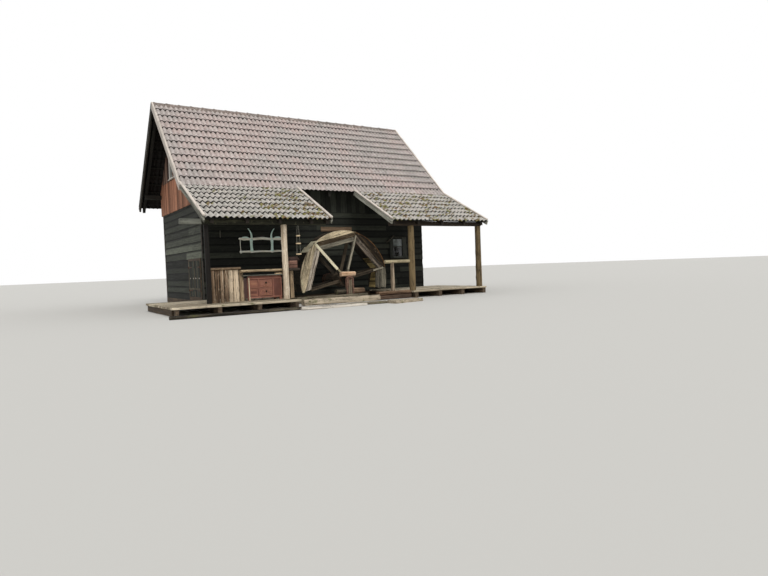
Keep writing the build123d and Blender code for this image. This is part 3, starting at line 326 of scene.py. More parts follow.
    def piece(self, name, body, stands_for=(), slot=None):
        """Joins everything gathered into one object that rides on a body."""
        mesh = bpy.data.meshes.new(name)
        points = np.concatenate(self.points)
        points[:, 2] = np.maximum(points[:, 2], 0.0)
        mesh.from_pydata(points.tolist(), [], self.faces)
        mesh.polygons.foreach_set("material_index", self.kinds)
        shell = bmesh.new()
        shell.from_mesh(mesh)
        bmesh.ops.recalc_face_normals(shell, faces=shell.faces)
        shell.to_mesh(mesh)
        shell.free()
        run = mesh.attributes.new("grain", "FLOAT_VECTOR", "POINT")
        run.data.foreach_set("vector", np.concatenate(self.grain).astype(np.float32).ravel())
        tone = mesh.attributes.new("tone", "FLOAT", "POINT")
        tone.data.foreach_set("value", np.concatenate(self.tone).astype(np.float32))
        lie = np.concatenate(self.lie).astype(np.float32)
        if lie.any():
            mesh.attributes.new("lie", "FLOAT_VECTOR", "POINT").data.foreach_set("vector", lie.ravel())
        for finish in self.finishes:
            mesh.materials.append(finish)
        mesh.shade_smooth()
        mesh.set_sharp_from_angle(angle=SHARP)
        piece = bpy.data.objects.new(name, mesh)
        bpy.context.scene.collection.objects.link(piece)
        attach(piece, body)
        if stands_for:
            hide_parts(*stands_for)
        return piece


class Finish:
    """Builds one material out of grain, stain, wear and relief."""

    def __init__(self, name):
        self.material = bpy.data.materials.new(name)
        self.material.use_nodes = True
        self.tree = self.material.node_tree
        self.shader = self.tree.nodes["Principled BSDF"]

    def node(self, kind, inputs=(), **settings):
        """New node with its settings and inputs; an input may be a value or a socket."""
        made = self.tree.nodes.new("ShaderNode" + kind)
        for key, value in settings.items():
            setattr(made, key, value)
        for key, value in dict(inputs).items():
            if isinstance(value, bpy.types.NodeSocket):
                self.tree.links.new(value, made.inputs[key])
            else:
                made.inputs[key].default_value = value
        return made

    def mark(self, name, kind="Vector"):
        """Values that the mesh carries under a name."""
        return self.node("Attribute", attribute_name=name).outputs[kind]

    def place(self, scale, along=None, turn=(0, 0, 0)):
        """Coordinates in metres with the grain first, scaled for a pattern."""
        if along is None:
            source = self.mark("grain")
        else:
            source = self.node("TexCoord").outputs["Object"]
            scale = {"x": scale, "y": (scale[1], scale[0], scale[2]), "z": (scale[2], scale[1], scale[0])}[along]
            if any(turn):
                inputs = {"Vector": source, "Rotation": turn}
                source = self.node("VectorRotate", inputs, rotation_type="EULER_XYZ").outputs[0]
        return self.node("Mapping", {"Vector": source, "Scale": scale}).outputs[0]

    def noise(self, vector, scale=1.0, detail=4.0, roughness=0.55, distortion=0.0):
        """Soft random pattern from 0 to 1."""
        return self.node(
            "TexNoise",
            {"Vector": vector, "Scale": scale, "Detail": detail, "Roughness": roughness, "Distortion": distortion},
        ).outputs["Fac"]

    def math(self, operation, a, b=0.0):
        """Sum, product or other step of arithmetic."""
        return self.node("Math", {0: a, 1: b}, operation=operation).outputs[0]

    def span(self, value, low, high, to_low=0.0, to_high=1.0):
        """Stretches part of a range over another."""
        return self.node(
            "MapRange",
            {"Value": value, "From Min": low, "From Max": high, "To Min": to_low, "To Max": to_high},
            interpolation_type="SMOOTHSTEP",
        ).outputs[0]

    def blend(self, share, first, second):
        """Mix of two colours."""
        made = self.node("Mix", data_type="RGBA")
        for index, value in ((0, share), (6, first), (7, second)):
            if isinstance(value, bpy.types.NodeSocket):
                self.tree.links.new(value, made.inputs[index])
            elif index:
                made.inputs[index].default_value = (*value[:3], 1)
            else:
                made.inputs[index].default_value = value
        return made.outputs[2]

    def tint(self, share, amount, shade, over):
        """Lays a colour over a shade by a share and an amount."""
        return self.blend(self.math("MULTIPLY", share, amount), shade, over)

    def ramp(self, value, stops):
        """Colours laid along a range."""
        made = self.node("ValToRGB", {"Fac": value})
        band = made.color_ramp
        while len(band.elements) < len(stops):
            band.elements.new(0.5)
        for element, (place, shade) in zip(band.elements, stops):
            element.position = place
            element.color = (*shade[:3], 1)
        return made.outputs["Color"]

    def relief(self, *layers):
        """Bumps laid over one another; each layer is (height, depth in metres)."""
        last = None
        for height, depth in layers:
            inputs = {"Height": height, "Distance": depth, "Strength": 1.0}
            if last is not None:
                inputs["Normal"] = last
            last = self.node("Bump", inputs).outputs[0]
        return last

    def close(self, colour_socket, roughness, normal=None, **values):
        """Joins colour, roughness and relief to the shader."""
        for key, value in (("Base Color", colour_socket), ("Roughness", roughness), ("Normal", normal)):
            if isinstance(value, bpy.types.NodeSocket):
                self.tree.links.new(value, self.shader.inputs[key])
            elif value is not None:
                self.shader.inputs[key].default_value = value
        for key, value in values.items():
            self.shader.inputs[key.replace("_", " ")].default_value = value
        return self.material


def stops_of(codes):
    """Places and colours of a range that is given as codes and places."""
    return [(place, colour(code)) for code, place in codes]


def scaled(shade, amount):
    """Darker or lighter shade."""
    return tuple(min(1.0, part * amount) for part in shade[:3])


def aged_wood(name, deep, body, light, crack, stain, relief, moss=0.0, along=None,
              turn=(0, 0, 0), streak=1.0, tone_share=0.45, spread=1.0):
    """Weathered wood: streaks and fibres along the grain, drying cracks, stains, a tone for each board, and painted
    shade under the laps of wall boards.
    """
    f = Finish(name)
    streaks = f.noise(f.place((0.8, 17 * streak, 17 * streak), along, turn), 1, 6, 0.62, 0.35)
    fibres = f.noise(f.place((5, 190, 190), along, turn), 1, 3, 0.6, 0.1)
    checks = f.noise(f.place((1.1, 26, 26), along, turn), 1, 2, 0.5, 0.8)
    split = f.math("ABSOLUTE", f.math("SUBTRACT", checks, 0.5))
    split = f.span(split, 0.0, 0.022, 1.0, 0.0)
    where = f.node("NewGeometry").outputs["Position"] if along is None else f.node("TexCoord").outputs["Object"]
    patches = f.noise(where, 1.7, 4, 0.6, 0.4)
    spots = f.noise(where, 11, 3, 0.55)
    value = f.math("ADD", f.math("MULTIPLY", streaks, 0.85), f.math("MULTIPLY", fibres, 0.3))
    if along is None:
        tone = f.mark("tone", "Fac")
        value = f.math("ADD", value, f.math("MULTIPLY", f.math("SUBTRACT", tone, 0.5), tone_share))
    shade = f.ramp(value, [(0.56 - 0.24 * spread, deep), (0.56, body), (0.56 + 0.24 * spread, light)])
    shade = f.tint(f.span(patches, 0.5, 0.72), stain, shade, scaled(deep, 0.75))
    shade = f.tint(f.span(spots, 0.6, 0.72), 0.35, shade, light)
    shade = f.tint(split, crack, shade, scaled(deep, 0.35))
    if along is None:
        # Painted shade on the top of each wall board, under the lap of the board above
        height = f.node("SeparateXYZ", {0: f.mark("lie")}).outputs["Y"]
        shade = f.tint(f.span(height, 0.62, 0.92), 0.92, shade, scaled(deep, 0.22))
    if moss:
        patch = f.span(f.noise(where, 3.1, 5, 0.65), 0.62 - 0.22 * moss, 0.78 - 0.2 * moss)
        grown = f.math("MULTIPLY", patch, f.span(spots, 0.35, 0.6))
        shade = f.tint(grown, 0.8, shade, colour("5f6335"))
    rough = f.span(streaks, 0.3, 0.7, 0.72, 0.94)
    normal = f.relief((streaks, relief), (split, -relief * 1.3), (fibres, relief * 0.35))
    return f.close(shade, rough, normal, Specular_IOR_Level=0.25)


def roof_tile(name, base, cool, warm, moss, lap=0.62, lap_dirt_and_shadow="1f1915", arch=0.2):
    """Old concrete tile: its own tone, sandy grain, pale lichen and moss; dirt and painted shadow under the laps,
    painted shade in the wave troughs and on the noses and undersides, and a painted highlight on the crests.
    """
    f = Finish(name)
    grain = f.mark("grain")
    run = f.node("SeparateXYZ", {0: f.mark("lie")}).outputs
    tone = f.mark("tone", "Fac")
    where = f.node("NewGeometry").outputs["Position"]
    broad = f.noise(where, 0.55, 3, 0.55)
    cloud = f.noise(grain, 9, 5, 0.65, 0.5)
    sand = f.noise(grain, 30, 4, 0.75)
    lichen = f.noise(grain, 20, 4, 0.7, 0.4)
    value = f.math("ADD", f.math("MULTIPLY", tone, 0.45), f.math("MULTIPLY", f.span(broad, 0.28, 0.72), 0.5))
    shade = f.ramp(value, [(0.15, cool), (0.42, base), (0.66, warm), (0.9, scaled(base, 1.2))])
    shade = f.tint(f.span(cloud, 0.42, 0.66), 0.7, shade, scaled(base, 0.55))
    # Painted highlight on the wave crests, strongest near each tile's tail
    crest_highlight = f.math("MULTIPLY", f.span(run["Z"], 0.35, 1.0), f.span(run["Y"], 0.8, 0.1))
    shade = f.tint(crest_highlight, 0.28, shade, colour("e6ddd7"))
    shade = f.tint(f.span(lichen, 0.54, 0.63), 0.7, shade, colour("ded6d0"))
    shade = f.tint(f.span(sand, 0.52, 0.62), 0.55, shade, scaled(base, 0.42))
    # Painted shade in the wave troughs, mottled by the cloud pattern
    trough_shade = f.math("MULTIPLY", f.span(run["Z"], 0.45, 0.0, 0.0, 1.0), f.span(cloud, 0.35, 0.6, 0.25, 1.0))
    shade = f.tint(trough_shade, 0.28, shade, scaled(base, 0.35))
    # Dirt and painted shadow at the head of each tile, where the tile above laps over it
    head = f.span(f.math("SUBTRACT", run["Y"], f.math("MULTIPLY", run["Z"], arch)), lap, lap + 0.07)
    shade = f.tint(head, 0.95, shade, colour(lap_dirt_and_shadow))
    # Tile noses and undersides turn near-black: painted shade
    shade = f.blend(f.span(run["Z"], -0.15, -0.6, 0.0, 0.98), shade, colour("120f0c"))
    if moss:
        side = f.node("SeparateXYZ", {0: where}).outputs["X"]
        patch = f.math("ADD", f.noise(where, 1.9, 3, 0.6), f.span(side, -3.8, -2.0, -0.09, 0.07))
        clump = f.span(patch, 0.6 - 0.16 * moss, 0.66 - 0.14 * moss)
        tuft = f.span(f.noise(grain, 6.5, 3, 0.6), 0.505, 0.545)
        colours = f.ramp(f.noise(where, 5.5, 2), stops_of(MOSS))
        grown = f.math("MULTIPLY", clump, tuft)
        shade = f.tint(grown, 0.9, shade, colours)
        normal = f.relief((cloud, 0.0025), (sand, 0.003), (grown, 0.014))
    else:
        normal = f.relief((cloud, 0.002), (sand, 0.003))
    return f.close(shade, f.span(cloud, 0.3, 0.7, 0.78, 0.95), normal, Specular_IOR_Level=0.3)


def rusty_iron(name, stops):
    """Forged iron with scale and rust."""
    f = Finish(name)
    where = f.node("TexCoord").outputs["Object"]
    scale = f.noise(where, 30, 6, 0.7, 0.3)
    pits = f.noise(where, 160, 3, 0.6)
    shade = f.ramp(scale, stops_of(stops))
    shade = f.blend(f.span(pits, 0.5, 0.7), shade, colour("2b211b"))
    return f.close(shade, f.span(scale, 0.3, 0.7, 0.6, 0.92), f.relief((scale, 0.002), (pits, 0.0006)), Metallic=0.25)


def worn_paint(name, paint, under, bare=0.4, low=0.78, stain=0.4):
    """Thin old paint worn to the wood along the grain."""
    f = Finish(name)
    streaks = f.noise(f.place((1.6, 30, 30)), 1, 5, 0.65, 0.4)
    spots = f.noise(f.place((14, 26, 26)), 1, 4, 0.65, 0.3)
    cloud = f.noise(f.place((3, 6, 6)), 1, 3, 0.5)
    shade = f.blend(f.span(cloud, 0.3, 0.7), scaled(paint, low), scaled(paint, 1.12))
    both = f.math("ADD", f.math("MULTIPLY", streaks, 0.6), f.math("MULTIPLY", spots, 0.4))
    worn = f.math("MULTIPLY", f.span(both, 0.52, 0.62), bare)
    shade = f.blend(worn, shade, under)
    shade = f.blend(f.span(streaks, 0.36, 0.3), shade, scaled(under, stain))
    return f.close(
        shade, f.span(spots, 0.3, 0.7, 0.5, 0.8), f.relief((streaks, 0.0015), (worn, -0.0008)),
        Specular_IOR_Level=0.35)


def window_glass(name):
    """Old window glass: near-black for the dark room behind it, which is painted shade, with a pale, mottled upper
    part that is a painted reflection.
    """
    f = Finish(name)
    where = f.node("TexCoord").outputs["Object"]
    dust_and_sheen = f.noise(where, 5, 4, 0.55, 0.3)
    height = f.node("SeparateXYZ", {0: where}).outputs["Z"]
    upper = f.span(f.math("ADD", height, f.math("MULTIPLY", dust_and_sheen, 0.12)), 1.70, 1.76)
    painted_reflection = f.math("MULTIPLY", upper, f.span(dust_and_sheen, 0.38, 0.62, 0.55, 1.0))
    # Near-black is painted shade of the room behind; the pale grey above it is a painted reflection
    shade = f.blend(painted_reflection, colour("0c0e0e"), colour("7f8785"))
    wave = f.noise(where, 3.5, 2)
    return f.close(shade, f.span(dust_and_sheen, 0.4, 0.8, 0.06, 0.35), f.relief((wave, 0.003)), Specular_IOR_Level=0.7)


# Timbers: the deep, middle and light shade, then the strength of cracks and stains, the relief in
# metres, and what differs from other timbers. A shade is a code, or a setting and its brightness.
TIMBERS = {
    "dark_boards": (
        ("timber.dark", 0.5), ("timber.dark", 1), ("timber.dark", 2.2), 0.7, 0.3, 0.003, {"tone_share": 0.7}),
    "dark_inside": ("1c1815", "38302a", "54493f", 0.6, 0.3, 0.003),
    "grey_boards": (
        ("timber.grey", 0.35), ("timber.grey", 1), ("timber.grey", 1.8), 0.75, 0.35, 0.004, {"tone_share": 0.7}),
    "gable_boards": (
        ("timber.red", 0.45), ("timber.red", 1), ("timber.red", 1.45), 0.55, 0.35, 0.002, {"tone_share": 0.6}),
    "gable_upper": ("33241d", "6b5245", "94796a", 0.6, 0.35, 0.002, {"tone_share": 0.7}),
    "shutter_wood": ("32251f", "6e564a", "997f70", 0.7, 0.3, 0.003),
    "door_stile": ("26221c", "4b463a", "6f695a", 0.5, 0.3, 0.002),
    "pale_boards": (("timber.pale", 0.42), ("timber.pale", 1), ("timber.pale", 1.3), 0.6, 0.25, 0.0025),
    "frame_timber": ("1d1713", "453a2f", "6e6152", 0.6, 0.4, 0.003),
    "porch_beam": ("26261c", "535241", "7a7860", 0.7, 0.45, 0.004),
    "beam_grey": ("3b3832", "79776c", "a3a094", 0.75, 0.45, 0.004),
    "overrun_grey": ("34332f", "62635b", "85867b", 0.8, 0.45, 0.004),
    "hood_boards": ("24211d", "4a463d", "6b6659", 0.7, 0.45, 0.004),
    # Battens under the tiles: near-black, painted shade of the roof's underside
    "soffit_dark": ("0b0a08", "1c1b17", "2e2c26", 0.6, 0.4, 0.002),
    "verge_grey": ("4d4c43", "a6a497", "d6d4c8", 0.7, 0.35, 0.003, {"moss": 0.3, "spread": 0.8}),
    "verge_dark": ("161411", "33302a", "57534a", 0.7, 0.4, 0.003),
    "patch_board": ("5c4a3a", "9b8268", "c4a888", 0.6, 0.3, 0.002),
    "peeled_log": ("957f66", "e4d3ba", "fbf2e2", 0.75, 0.3, 0.004, {"streak": 1.3, "spread": 0.8}),
    "brown_log": ("2f2118", "5f4636", "8a6d55", 0.6, 0.3, 0.004),
    "dark_log": ("15100a", "3e3222", "7c6a4c", 0.85, 0.35, 0.005, {"streak": 1.3, "spread": 0.75}),
    "black_timber": ("12100e", "2b2621", "4a4138", 0.6, 0.3, 0.003),
    "slab_wood": ("453526", "957b62", "dcc8ac", 0.75, 0.4, 0.007, {"tone_share": 0.5, "streak": 1.6, "spread": 0.7}),
    "top_wood": ("3d3023", "8a745d", "c9b290", 0.75, 0.35, 0.005, {"streak": 1.4, "spread": 0.75}),
    "deck_boards": ("685d4b", "b3a58e", "ddd0b7", 0.65, 0.45, 0.004, {"moss": 0.3}),
    "ground_timber": ("3a3228", "8a7c68", "bfb09a", 0.85, 0.5, 0.007, {"moss": 0.5, "streak": 1.4, "spread": 0.75}),
    "sill_brown": ("2b1e17", "624836", "937a62", 0.7, 0.4, 0.005),
    "rim_tan": (
        ("wheel.tan", 0.3), ("wheel.tan", 1), ("wheel.tan", 1.7), 0.9, 0.45, 0.007, {"streak": 1.5, "spread": 0.5}),
    "wheel_grey": (
        ("wheel.grey", 0.2), ("wheel.grey", 1), ("wheel.grey", 1.9), 0.9, 0.45, 0.007, {"streak": 1.5, "spread": 0.7}
    ),
    "wheel_dark": (
        ("wheel.dark", 0.35), ("wheel.dark", 1), ("wheel.dark", 3.0), 0.85, 0.4, 0.007,
        {"streak": 1.5, "spread": 0.75}),
    "rim_olive": ("4d4229", "b09a66", "dcc890", 0.7, 0.3, 0.005, {"streak": 1.3}),
    "rim_orange": ("4a3220", "946c46", "c09868", 0.6, 0.3, 0.005),
    "wheel_bleached": ("9b8f6c", "e0d4b0", "f4ebcc", 0.6, 0.2, 0.004, {"streak": 1.4, "spread": 0.8}),
    "wheel_cream": ("8c7f60", "c9bc98", "e2d8b8", 0.6, 0.15, 0.004),
    "wheel_fibre": (("wheel.grey", 0.16), "7f7062", "ddd0bd", 0.95, 0.4, 0.009, {"streak": 1.9, "spread": 0.55}),
    "wheel_brown": ("1d1610", "50422f", "9a8870", 0.9, 0.45, 0.008, {"streak": 1.6, "spread": 0.7}),
    "bearing_wood": ("2a231b", "5f5445", "8d7f6a", 0.8, 0.4, 0.004),
    "rail_wood": ("3f3628", "8d8066", "c3b694", 0.7, 0.4, 0.004, {"streak": 1.4, "spread": 0.8}),
    "post_bark": ("33281f", "7a6a58", "b09f89", 0.8, 0.4, 0.006, {"streak": 1.4, "spread": 0.7}),
    "box_wood": ("4a342c", "8a6658", "b0897a", 0.5, 0.3, 0.002),
    "lid_wood": ("1f1613", "453530", "66524a", 0.5, 0.3, 0.002),
    "disc_wood": ("8a6f4e", "c9ab82", "e6cfab", 0.4, 0.2, 0.002),
    "cap_wood": ("8c5a3c", "cf9f78", "f0cfae", 0.6, 0.3, 0.004, {"streak": 1.3, "spread": 0.7}),
    "window_frame": ("1a1c19", "383a35", "5c5e57", 0.6, 0.35, 0.002),
    "bleached_log": ("5a5148", "a99f92", "ded6ca", 0.85, 0.5, 0.008, {"streak": 1.5, "spread": 0.7}),
    "sill_dark": ("1c1511", "3b2d25", "5c4a3d", 0.7, 0.4, 0.005),
    "sill_grey": ("211d17", "544c3e", "8f8571", 0.85, 0.5, 0.007, {"moss": 0.35, "streak": 1.5, "spread": 0.75}),
    # Rafters: near-black, painted shade of the roof's underside
    "rafter_front": ("0b0a08", "1c1b17", "302e28", 0.5, 0.3, 0.002, {"along": "y", "turn": (-ROOF_ANGLE, 0, 0)}),
    "rafter_rear": ("0b0a08", "1c1b17", "302e28", 0.5, 0.3, 0.002, {"along": "y", "turn": (ROOF_ANGLE, 0, 0)}),
    "rafter_porch": ("0f0d0a", "25201a", "3c342b", 0.5, 0.3, 0.002, {"along": "y", "turn": (-PORCH_ANGLE, 0, 0)}),
    "timber_x": ("231b15", "4f4235", "756653", 0.6, 0.4, 0.003, {"along": "x"}),
    # Ridge beam and wall plates: near-black, painted shade under the roof
    "soffit_x": ("0d0c0a", "201e1a", "34322b", 0.6, 0.4, 0.003, {"along": "x"}),
    "timber_y": ("231b15", "4f4235", "756653", 0.6, 0.4, 0.003, {"along": "y"}),
}
# Paints: the paint, the wood under it, how much is bare, then its low shade and its stain
PAINTS = {
    "chest_paint": ("895a4b", "ad8468", 0.45),
    "chest_dark": ("6b4237", "7d5a49", 0.35),
    "chest_light": ("a06f57", "8a5c48", 0.5),
    "jamb_white": ("fdfcf6", "cfc8bb", 0.25, 0.9, 0.7),
    "yoke_cream": ("fffbe8", "d8d0b6", 0.12, 0.96, 0.75),
    "yoke_green": ("dcf8ea", "c3c6ae", 0.2, 0.92, 0.7),
    "sash_pale": ("cfcbc2", "7d756a", 0.4),
}
# Moss, from dry to wet
MOSS = (("5a5f2c", 0.36), ("83803a", 0.46), ("7d5c3c", 0.54), ("4a4524", 0.66))
# Rust of the plain iron and of the pale strap, as codes and their places on the range
RUST = (("241c18", 0.3), ("4a3226", 0.5), ("7a4a2c", 0.64), ("8c5c3a", 0.8))
STRAP_RUST = (("4a382f", 0.3), ("8b6a5b", 0.46), ("b08976", 0.6), ("c7a48f", 0.76))


def shade_of(value):
    """Colour from a code, or from a setting and its brightness."""
    if isinstance(value, str):
        return colour(value)
    setting, amount = value
    group, key = setting.split(".")
    return scaled(getattr(getattr(bpy.context.scene, "watermill_" + group), key), amount)


def finish_of(key):
    """The finish of that key, made the first time it is asked for."""
    name = key + "_worn"
    made = bpy.data.materials.get(name)
    if made:
        return made
    roof = bpy.context.scene.watermill_roof
    if key in TIMBERS:
        values = TIMBERS[key]
        extras = values[6] if len(values) > 6 else {}
        return aged_wood(name, *(shade_of(v) for v in values[:3]), *values[3:6], **extras)
    if key in PAINTS:
        paint, under, *values = PAINTS[key]
        return worn_paint(name, colour(paint), colour(under), *values)
    if key == "main_tile":
        return roof_tile(name, tuple(roof.main_tile), colour("a19b96"), colour("bba6a0"), 0.0)
    if key == "porch_tile":
        cool, warm = colour("a5a29a"), colour("bdb5ad")
        return roof_tile(name, tuple(roof.porch_tile), cool, warm, roof.moss, lap=0.7, lap_dirt_and_shadow="2e2a25", arch=0.12)
    if key == "ridge_tile":
        return roof_tile(name, colour("8d827b"), colour("817b74"), colour("98887f"), 0.0)
    return window_glass(name) if key == "glass" else rusty_iron(name, STRAP_RUST if key == "strap_iron" else RUST)


def finishes(*keys):
    """Several finishes at once."""
    return [finish_of(key) for key in keys]


def dress(node, finish):
    """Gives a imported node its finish."""
    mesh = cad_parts[node].data
    mesh.materials.clear()
    mesh.materials.append(finish_of(finish))


def points_at(x, y, z):
    """Corners from three numbers or rows of numbers."""
    return np.column_stack(np.broadcast_arrays(x, y, z))


def turned(x, y, z, profile, sides, axis="y"):
    """Rings round an axis through a point; the profile lists radius and place along the axis."""
    turn = circle(sides)
    rings = []
    for radius, place in profile:
        a, b = radius * np.cos(turn), radius * np.sin(turn)
        first, second, third = {"x": (place, a, b), "y": (a, place, b), "z": (a, b, place)}[axis]
        rings.append(points_at(x + first, y + second, z + third))
    return np.array(rings)


def on_wheel(radius, degrees):
    """Point of the wheel face at a radius and an angle, as x and z."""
    return HUB + radius * heading(degrees)


def free_parts(low, high, holes, z0, z1):
    """Parts of a strip that holes leave, as (low, high, z0, z1)."""
    cuts = sorted({low, high, *[c for h in holes for c in h[:2] if low < c < high]})
    parts = []
    for a, b in zip(cuts, cuts[1:]):
        spans = [(z0, z1)]
        for h0, h1, hz0, hz1 in holes:
            if h0 < (a + b) / 2 < h1:
                left = []
                for s0, s1 in spans:
                    left += [(s0, min(s1, hz0))] if s0 < hz0 else []
                    left += [(max(s0, hz1), s1)] if s1 > hz1 else []
                spans = left
        parts += [(a, b, s0, s1) for s0, s1 in spans if s1 - s0 > 0.012]
    joined = []
    for part in parts:
        if joined and joined[-1][1] == part[0] and joined[-1][2:] == part[2:]:
            joined[-1] = (joined[-1][0], part[1], *part[2:])
        else:
            joined.append(part)
    return joined


def boarding(bench, origin, along, out, length, z0, z1, height, finish, holes=(), depth=0.026):
    """Overlapping horizontal boards on a wall; holes are (start, end, low, high) along the wall."""
    origin, along, out = (np.asarray(v, float) for v in (origin, along, out))
    rows = max(1, round((z1 - z0) / height))
    gauge = (z1 - z0) / rows
    for row in range(rows):
        low = z0 + row * gauge
        seams = [0.0]
        while seams[-1] < length - 0.05:
            seams.append(min(length, seams[-1] + bench.chance.uniform(0.55, 1.0) * LONGEST_BOARD))
        for s0, s1 in zip(seams, seams[1:]):
            for a, b, p0, p1 in free_parts(s0, s1, holes, low, low + gauge):
                whole = p0 == low
                sag = bench.chance.normal(0, 0.0025)
                lap = 0.018 if p1 == low + gauge and row < rows - 1 else 0
                thick = depth * (0.92 if whole else 0.7)
                middle = (p0 + p1) / 2
                outline = [
                    (-depth, p0 + 0.003), (-depth + thick, p0 + 0.003), (-depth + thick, p0 + 0.014),
                    (-depth + thick * 0.82, middle), (-depth * 0.42, p1 - 0.02), (-depth * 0.5, p1 + lap),
                    (-depth, p1 + lap)]
                # Place of each outline corner from the board's foot to its top under the lap above; the finish paints
                # shade on the top part
                high = np.array([0.0, 0.0, 0.12, 0.5, 0.9, 1.0, 1.0]) + 0.001
                n = max(2, int((b - a) / 0.45) + 2)
                at = np.linspace(a + 0.0015, b - 0.0015, n)
                wave = bench.wander((n, len(outline), 2)) * 0.0012
                flat = np.array(outline)[None] + wave
                flat[:, 1:3, 1] += sag + 0.0035 * np.sin(at * 1.7 + bench.chance.uniform(0, 6))[:, None]
                flat[..., 0] = np.minimum(flat[..., 0], -0.0005)
                rings = origin + at[:, None, None] * along
                rings = rings + flat[..., :1] * out + flat[..., 1:] * np.array([0, 0, 1.0])
                rings[..., 2] = np.minimum(rings[..., 2], z1)
                grain = np.concatenate([np.repeat(at[:, None, None], len(outline), 1), flat[..., ::-1]], axis=2)
                nowhere = np.zeros((n, len(outline)))
                lie = np.stack([nowhere, np.repeat(high[None], n, 0), nowhere], axis=2)
                bench.rings(rings, finish, grain=grain, lie=lie)


def plank_core(bench, origin, along, out, length, z0, z1, finish, holes=()):
    """Thick planks behind the boards, seen from the room."""
    origin, along, out = (np.asarray(v, float) for v in (origin, along, out))
    near, far = PLANKS_FROM, PLANKS_TO
    rows = max(1, round((z1 - z0) / PLANK_HEIGHT))
    gauge = (z1 - z0) / rows
    for row in range(rows):
        for a, b, p0, p1 in free_parts(0, length, holes, z0 + row * gauge, z0 + (row + 1) * gauge):
            middle = origin - out * (near + far) / 2 + np.array([0, 0, (p0 + p1) / 2])
            bench.timber(
                middle + along * a, middle + along * b, far - near, p1 - p0 - 0.002, finish, edge=0.008, rough=0.0008,
                step=0.8)


def slope_point(distance, drop=0.0):
    """Height of the main tile face at a distance from the ridge line."""
    return EAVE_Z + (EAVE_FRONT - distance) * math.tan(ROOF_ANGLE) - drop / math.cos(ROOF_ANGLE)


def slope_of(eave, ridge):
    """Foot, length, upward way and outward way of a slope from an eave to a ridge, in y and z."""
    eave = np.asarray(eave, float)
    rise = np.asarray(ridge, float) - eave
    slope = float(np.linalg.norm(rise))
    up = rise / slope
    out = np.array([-up[1], up[0]])
    return eave, slope, up, -out if out[1] < 0 else out


def tile_field(bench, x0, x1, eave, ridge, courses, finish, level, extra, lap=0.075):
    """Lays rows of wave tiles from an eave to a ridge, each given as (y, z) of the tile face."""
    roof = bpy.context.scene.watermill_roof
    eave, slope, up, out = slope_of(eave, ridge)
    gauge = slope / courses
    columns = round((x1 - x0) / roof.tile_cover)
    cover = (x1 - x0) / columns
    wave = roof.tile_wave + extra
    share = np.linspace(0, 1, TILE_STEPS + 1)
    ripple = 0.5 - 0.5 * np.cos(share * 4 * math.pi)
    ripple = ripple ** 0.85
    chance = bench.chance
    for row in range(courses):
        tail = row * gauge - (0.035 if row == 0 else 0)
        head = min((row + 1) * gauge + lap, slope + 0.01)
        for column in range(columns):
            left = x0 + column * cover
            dx, ds, lift, roll = (chance.normal(0, spread) for spread in TILE_SPREAD)
            lift = abs(lift)
            if row == 0:
                ds *= 0.4
            rows = [
                (head, 0.0, 0), (tail + 0.12, 0.72, 0), (tail + 0.02, 0.97, 0), (tail + 0.005, 1.0, -0.0015),
                (tail, 1.0, -0.006), (tail + 0.001, 1.0, -TILE_THICK), (tail + 0.05, 0.9, -TILE_THICK),
                (head, 0.0, -0.012)]
            rings, lie = [], []
            for s, near, drop in rows:
                height = -BED + 0.018 + wave * ripple + TILE_KICK * near + level * (1 - ripple) * near ** 3
                height = height + drop + lift * near + roll * (share - 0.5) * 2 + 0.003 * share ** 6
                x = left + share * (cover + 0.004) + dx
                y = eave[0] + up[0] * (s + ds) + out[0] * height
                z = eave[1] + up[1] * (s + ds) + out[1] * height
                rings.append(points_at(x, y, z))
                lie.append(points_at(share, (s - tail) / (head - tail), ripple if drop > -0.005 else -1.0))
            rings, lie = np.array(rings), np.array(lie)
            n, m = rings.shape[:2]
            at = np.arange(n * m).reshape(n, m)
            faces = [
                (at[i, j], at[i, j + 1], at[i + 1, j + 1], at[i + 1, j]) for i in range(n - 1) for j in range(m - 1)]
            faces.append(tuple(at[:, 0]))
            faces.append(tuple(at[::-1, -1]))
            grain = np.stack(
                [rings[..., 0], rings[..., 1] * up[0] + rings[..., 2] * up[1], rings[..., 2] * 0], axis=2)
            bench.add(rings, faces, grain, float(np.clip(chance.normal(0.5, 0.22), 0, 1)), finish, lie)


def battens(bench, x0, x1, eave, ridge, courses, finish):
    """Tile battens on the rafters, one under each row."""
    eave, slope, up, out = slope_of(eave, ridge)
    for row in range(courses + 1):
        s = min(max(row * slope / courses + 0.02, 0.03), slope - 0.05)
        y, z = eave + up * s + out * (-BED + 0.011)
        bench.level(x0, x1, y, z, 0.045, 0.022, finish, up=(0, out[0], out[1]), edge=0.002, step=1.2)


class WATERMILL_OT_main_roof(Operator):
    """Lay the tiles and battens of both main slopes"""

    bl_idname = "watermill.main_roof"
    bl_label = "Main roof"

    def execute(self, context):
        roof = context.scene.watermill_roof
        low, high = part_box("roof_front")
        for side, node, seed in ((-1, "roof_front", 11), (1, "roof_rear", 12)):
            bench = Bench(seed)
            eave, ridge = (side * EAVE_FRONT, EAVE_Z), (0.0, RIDGE_Z)
            battens(bench, low.x + 0.005, high.x - 0.005, eave, ridge, roof.main_courses, finish_of("soffit_dark"))
            tile_field(
                bench, low.x, high.x, eave, ridge, roof.main_courses, finish_of("main_tile"), level=0.006,
                extra=-0.004)
            bench.piece("tiles_" + node[5:], "mill", [node], "roof_tile")
        return {"FINISHED"}


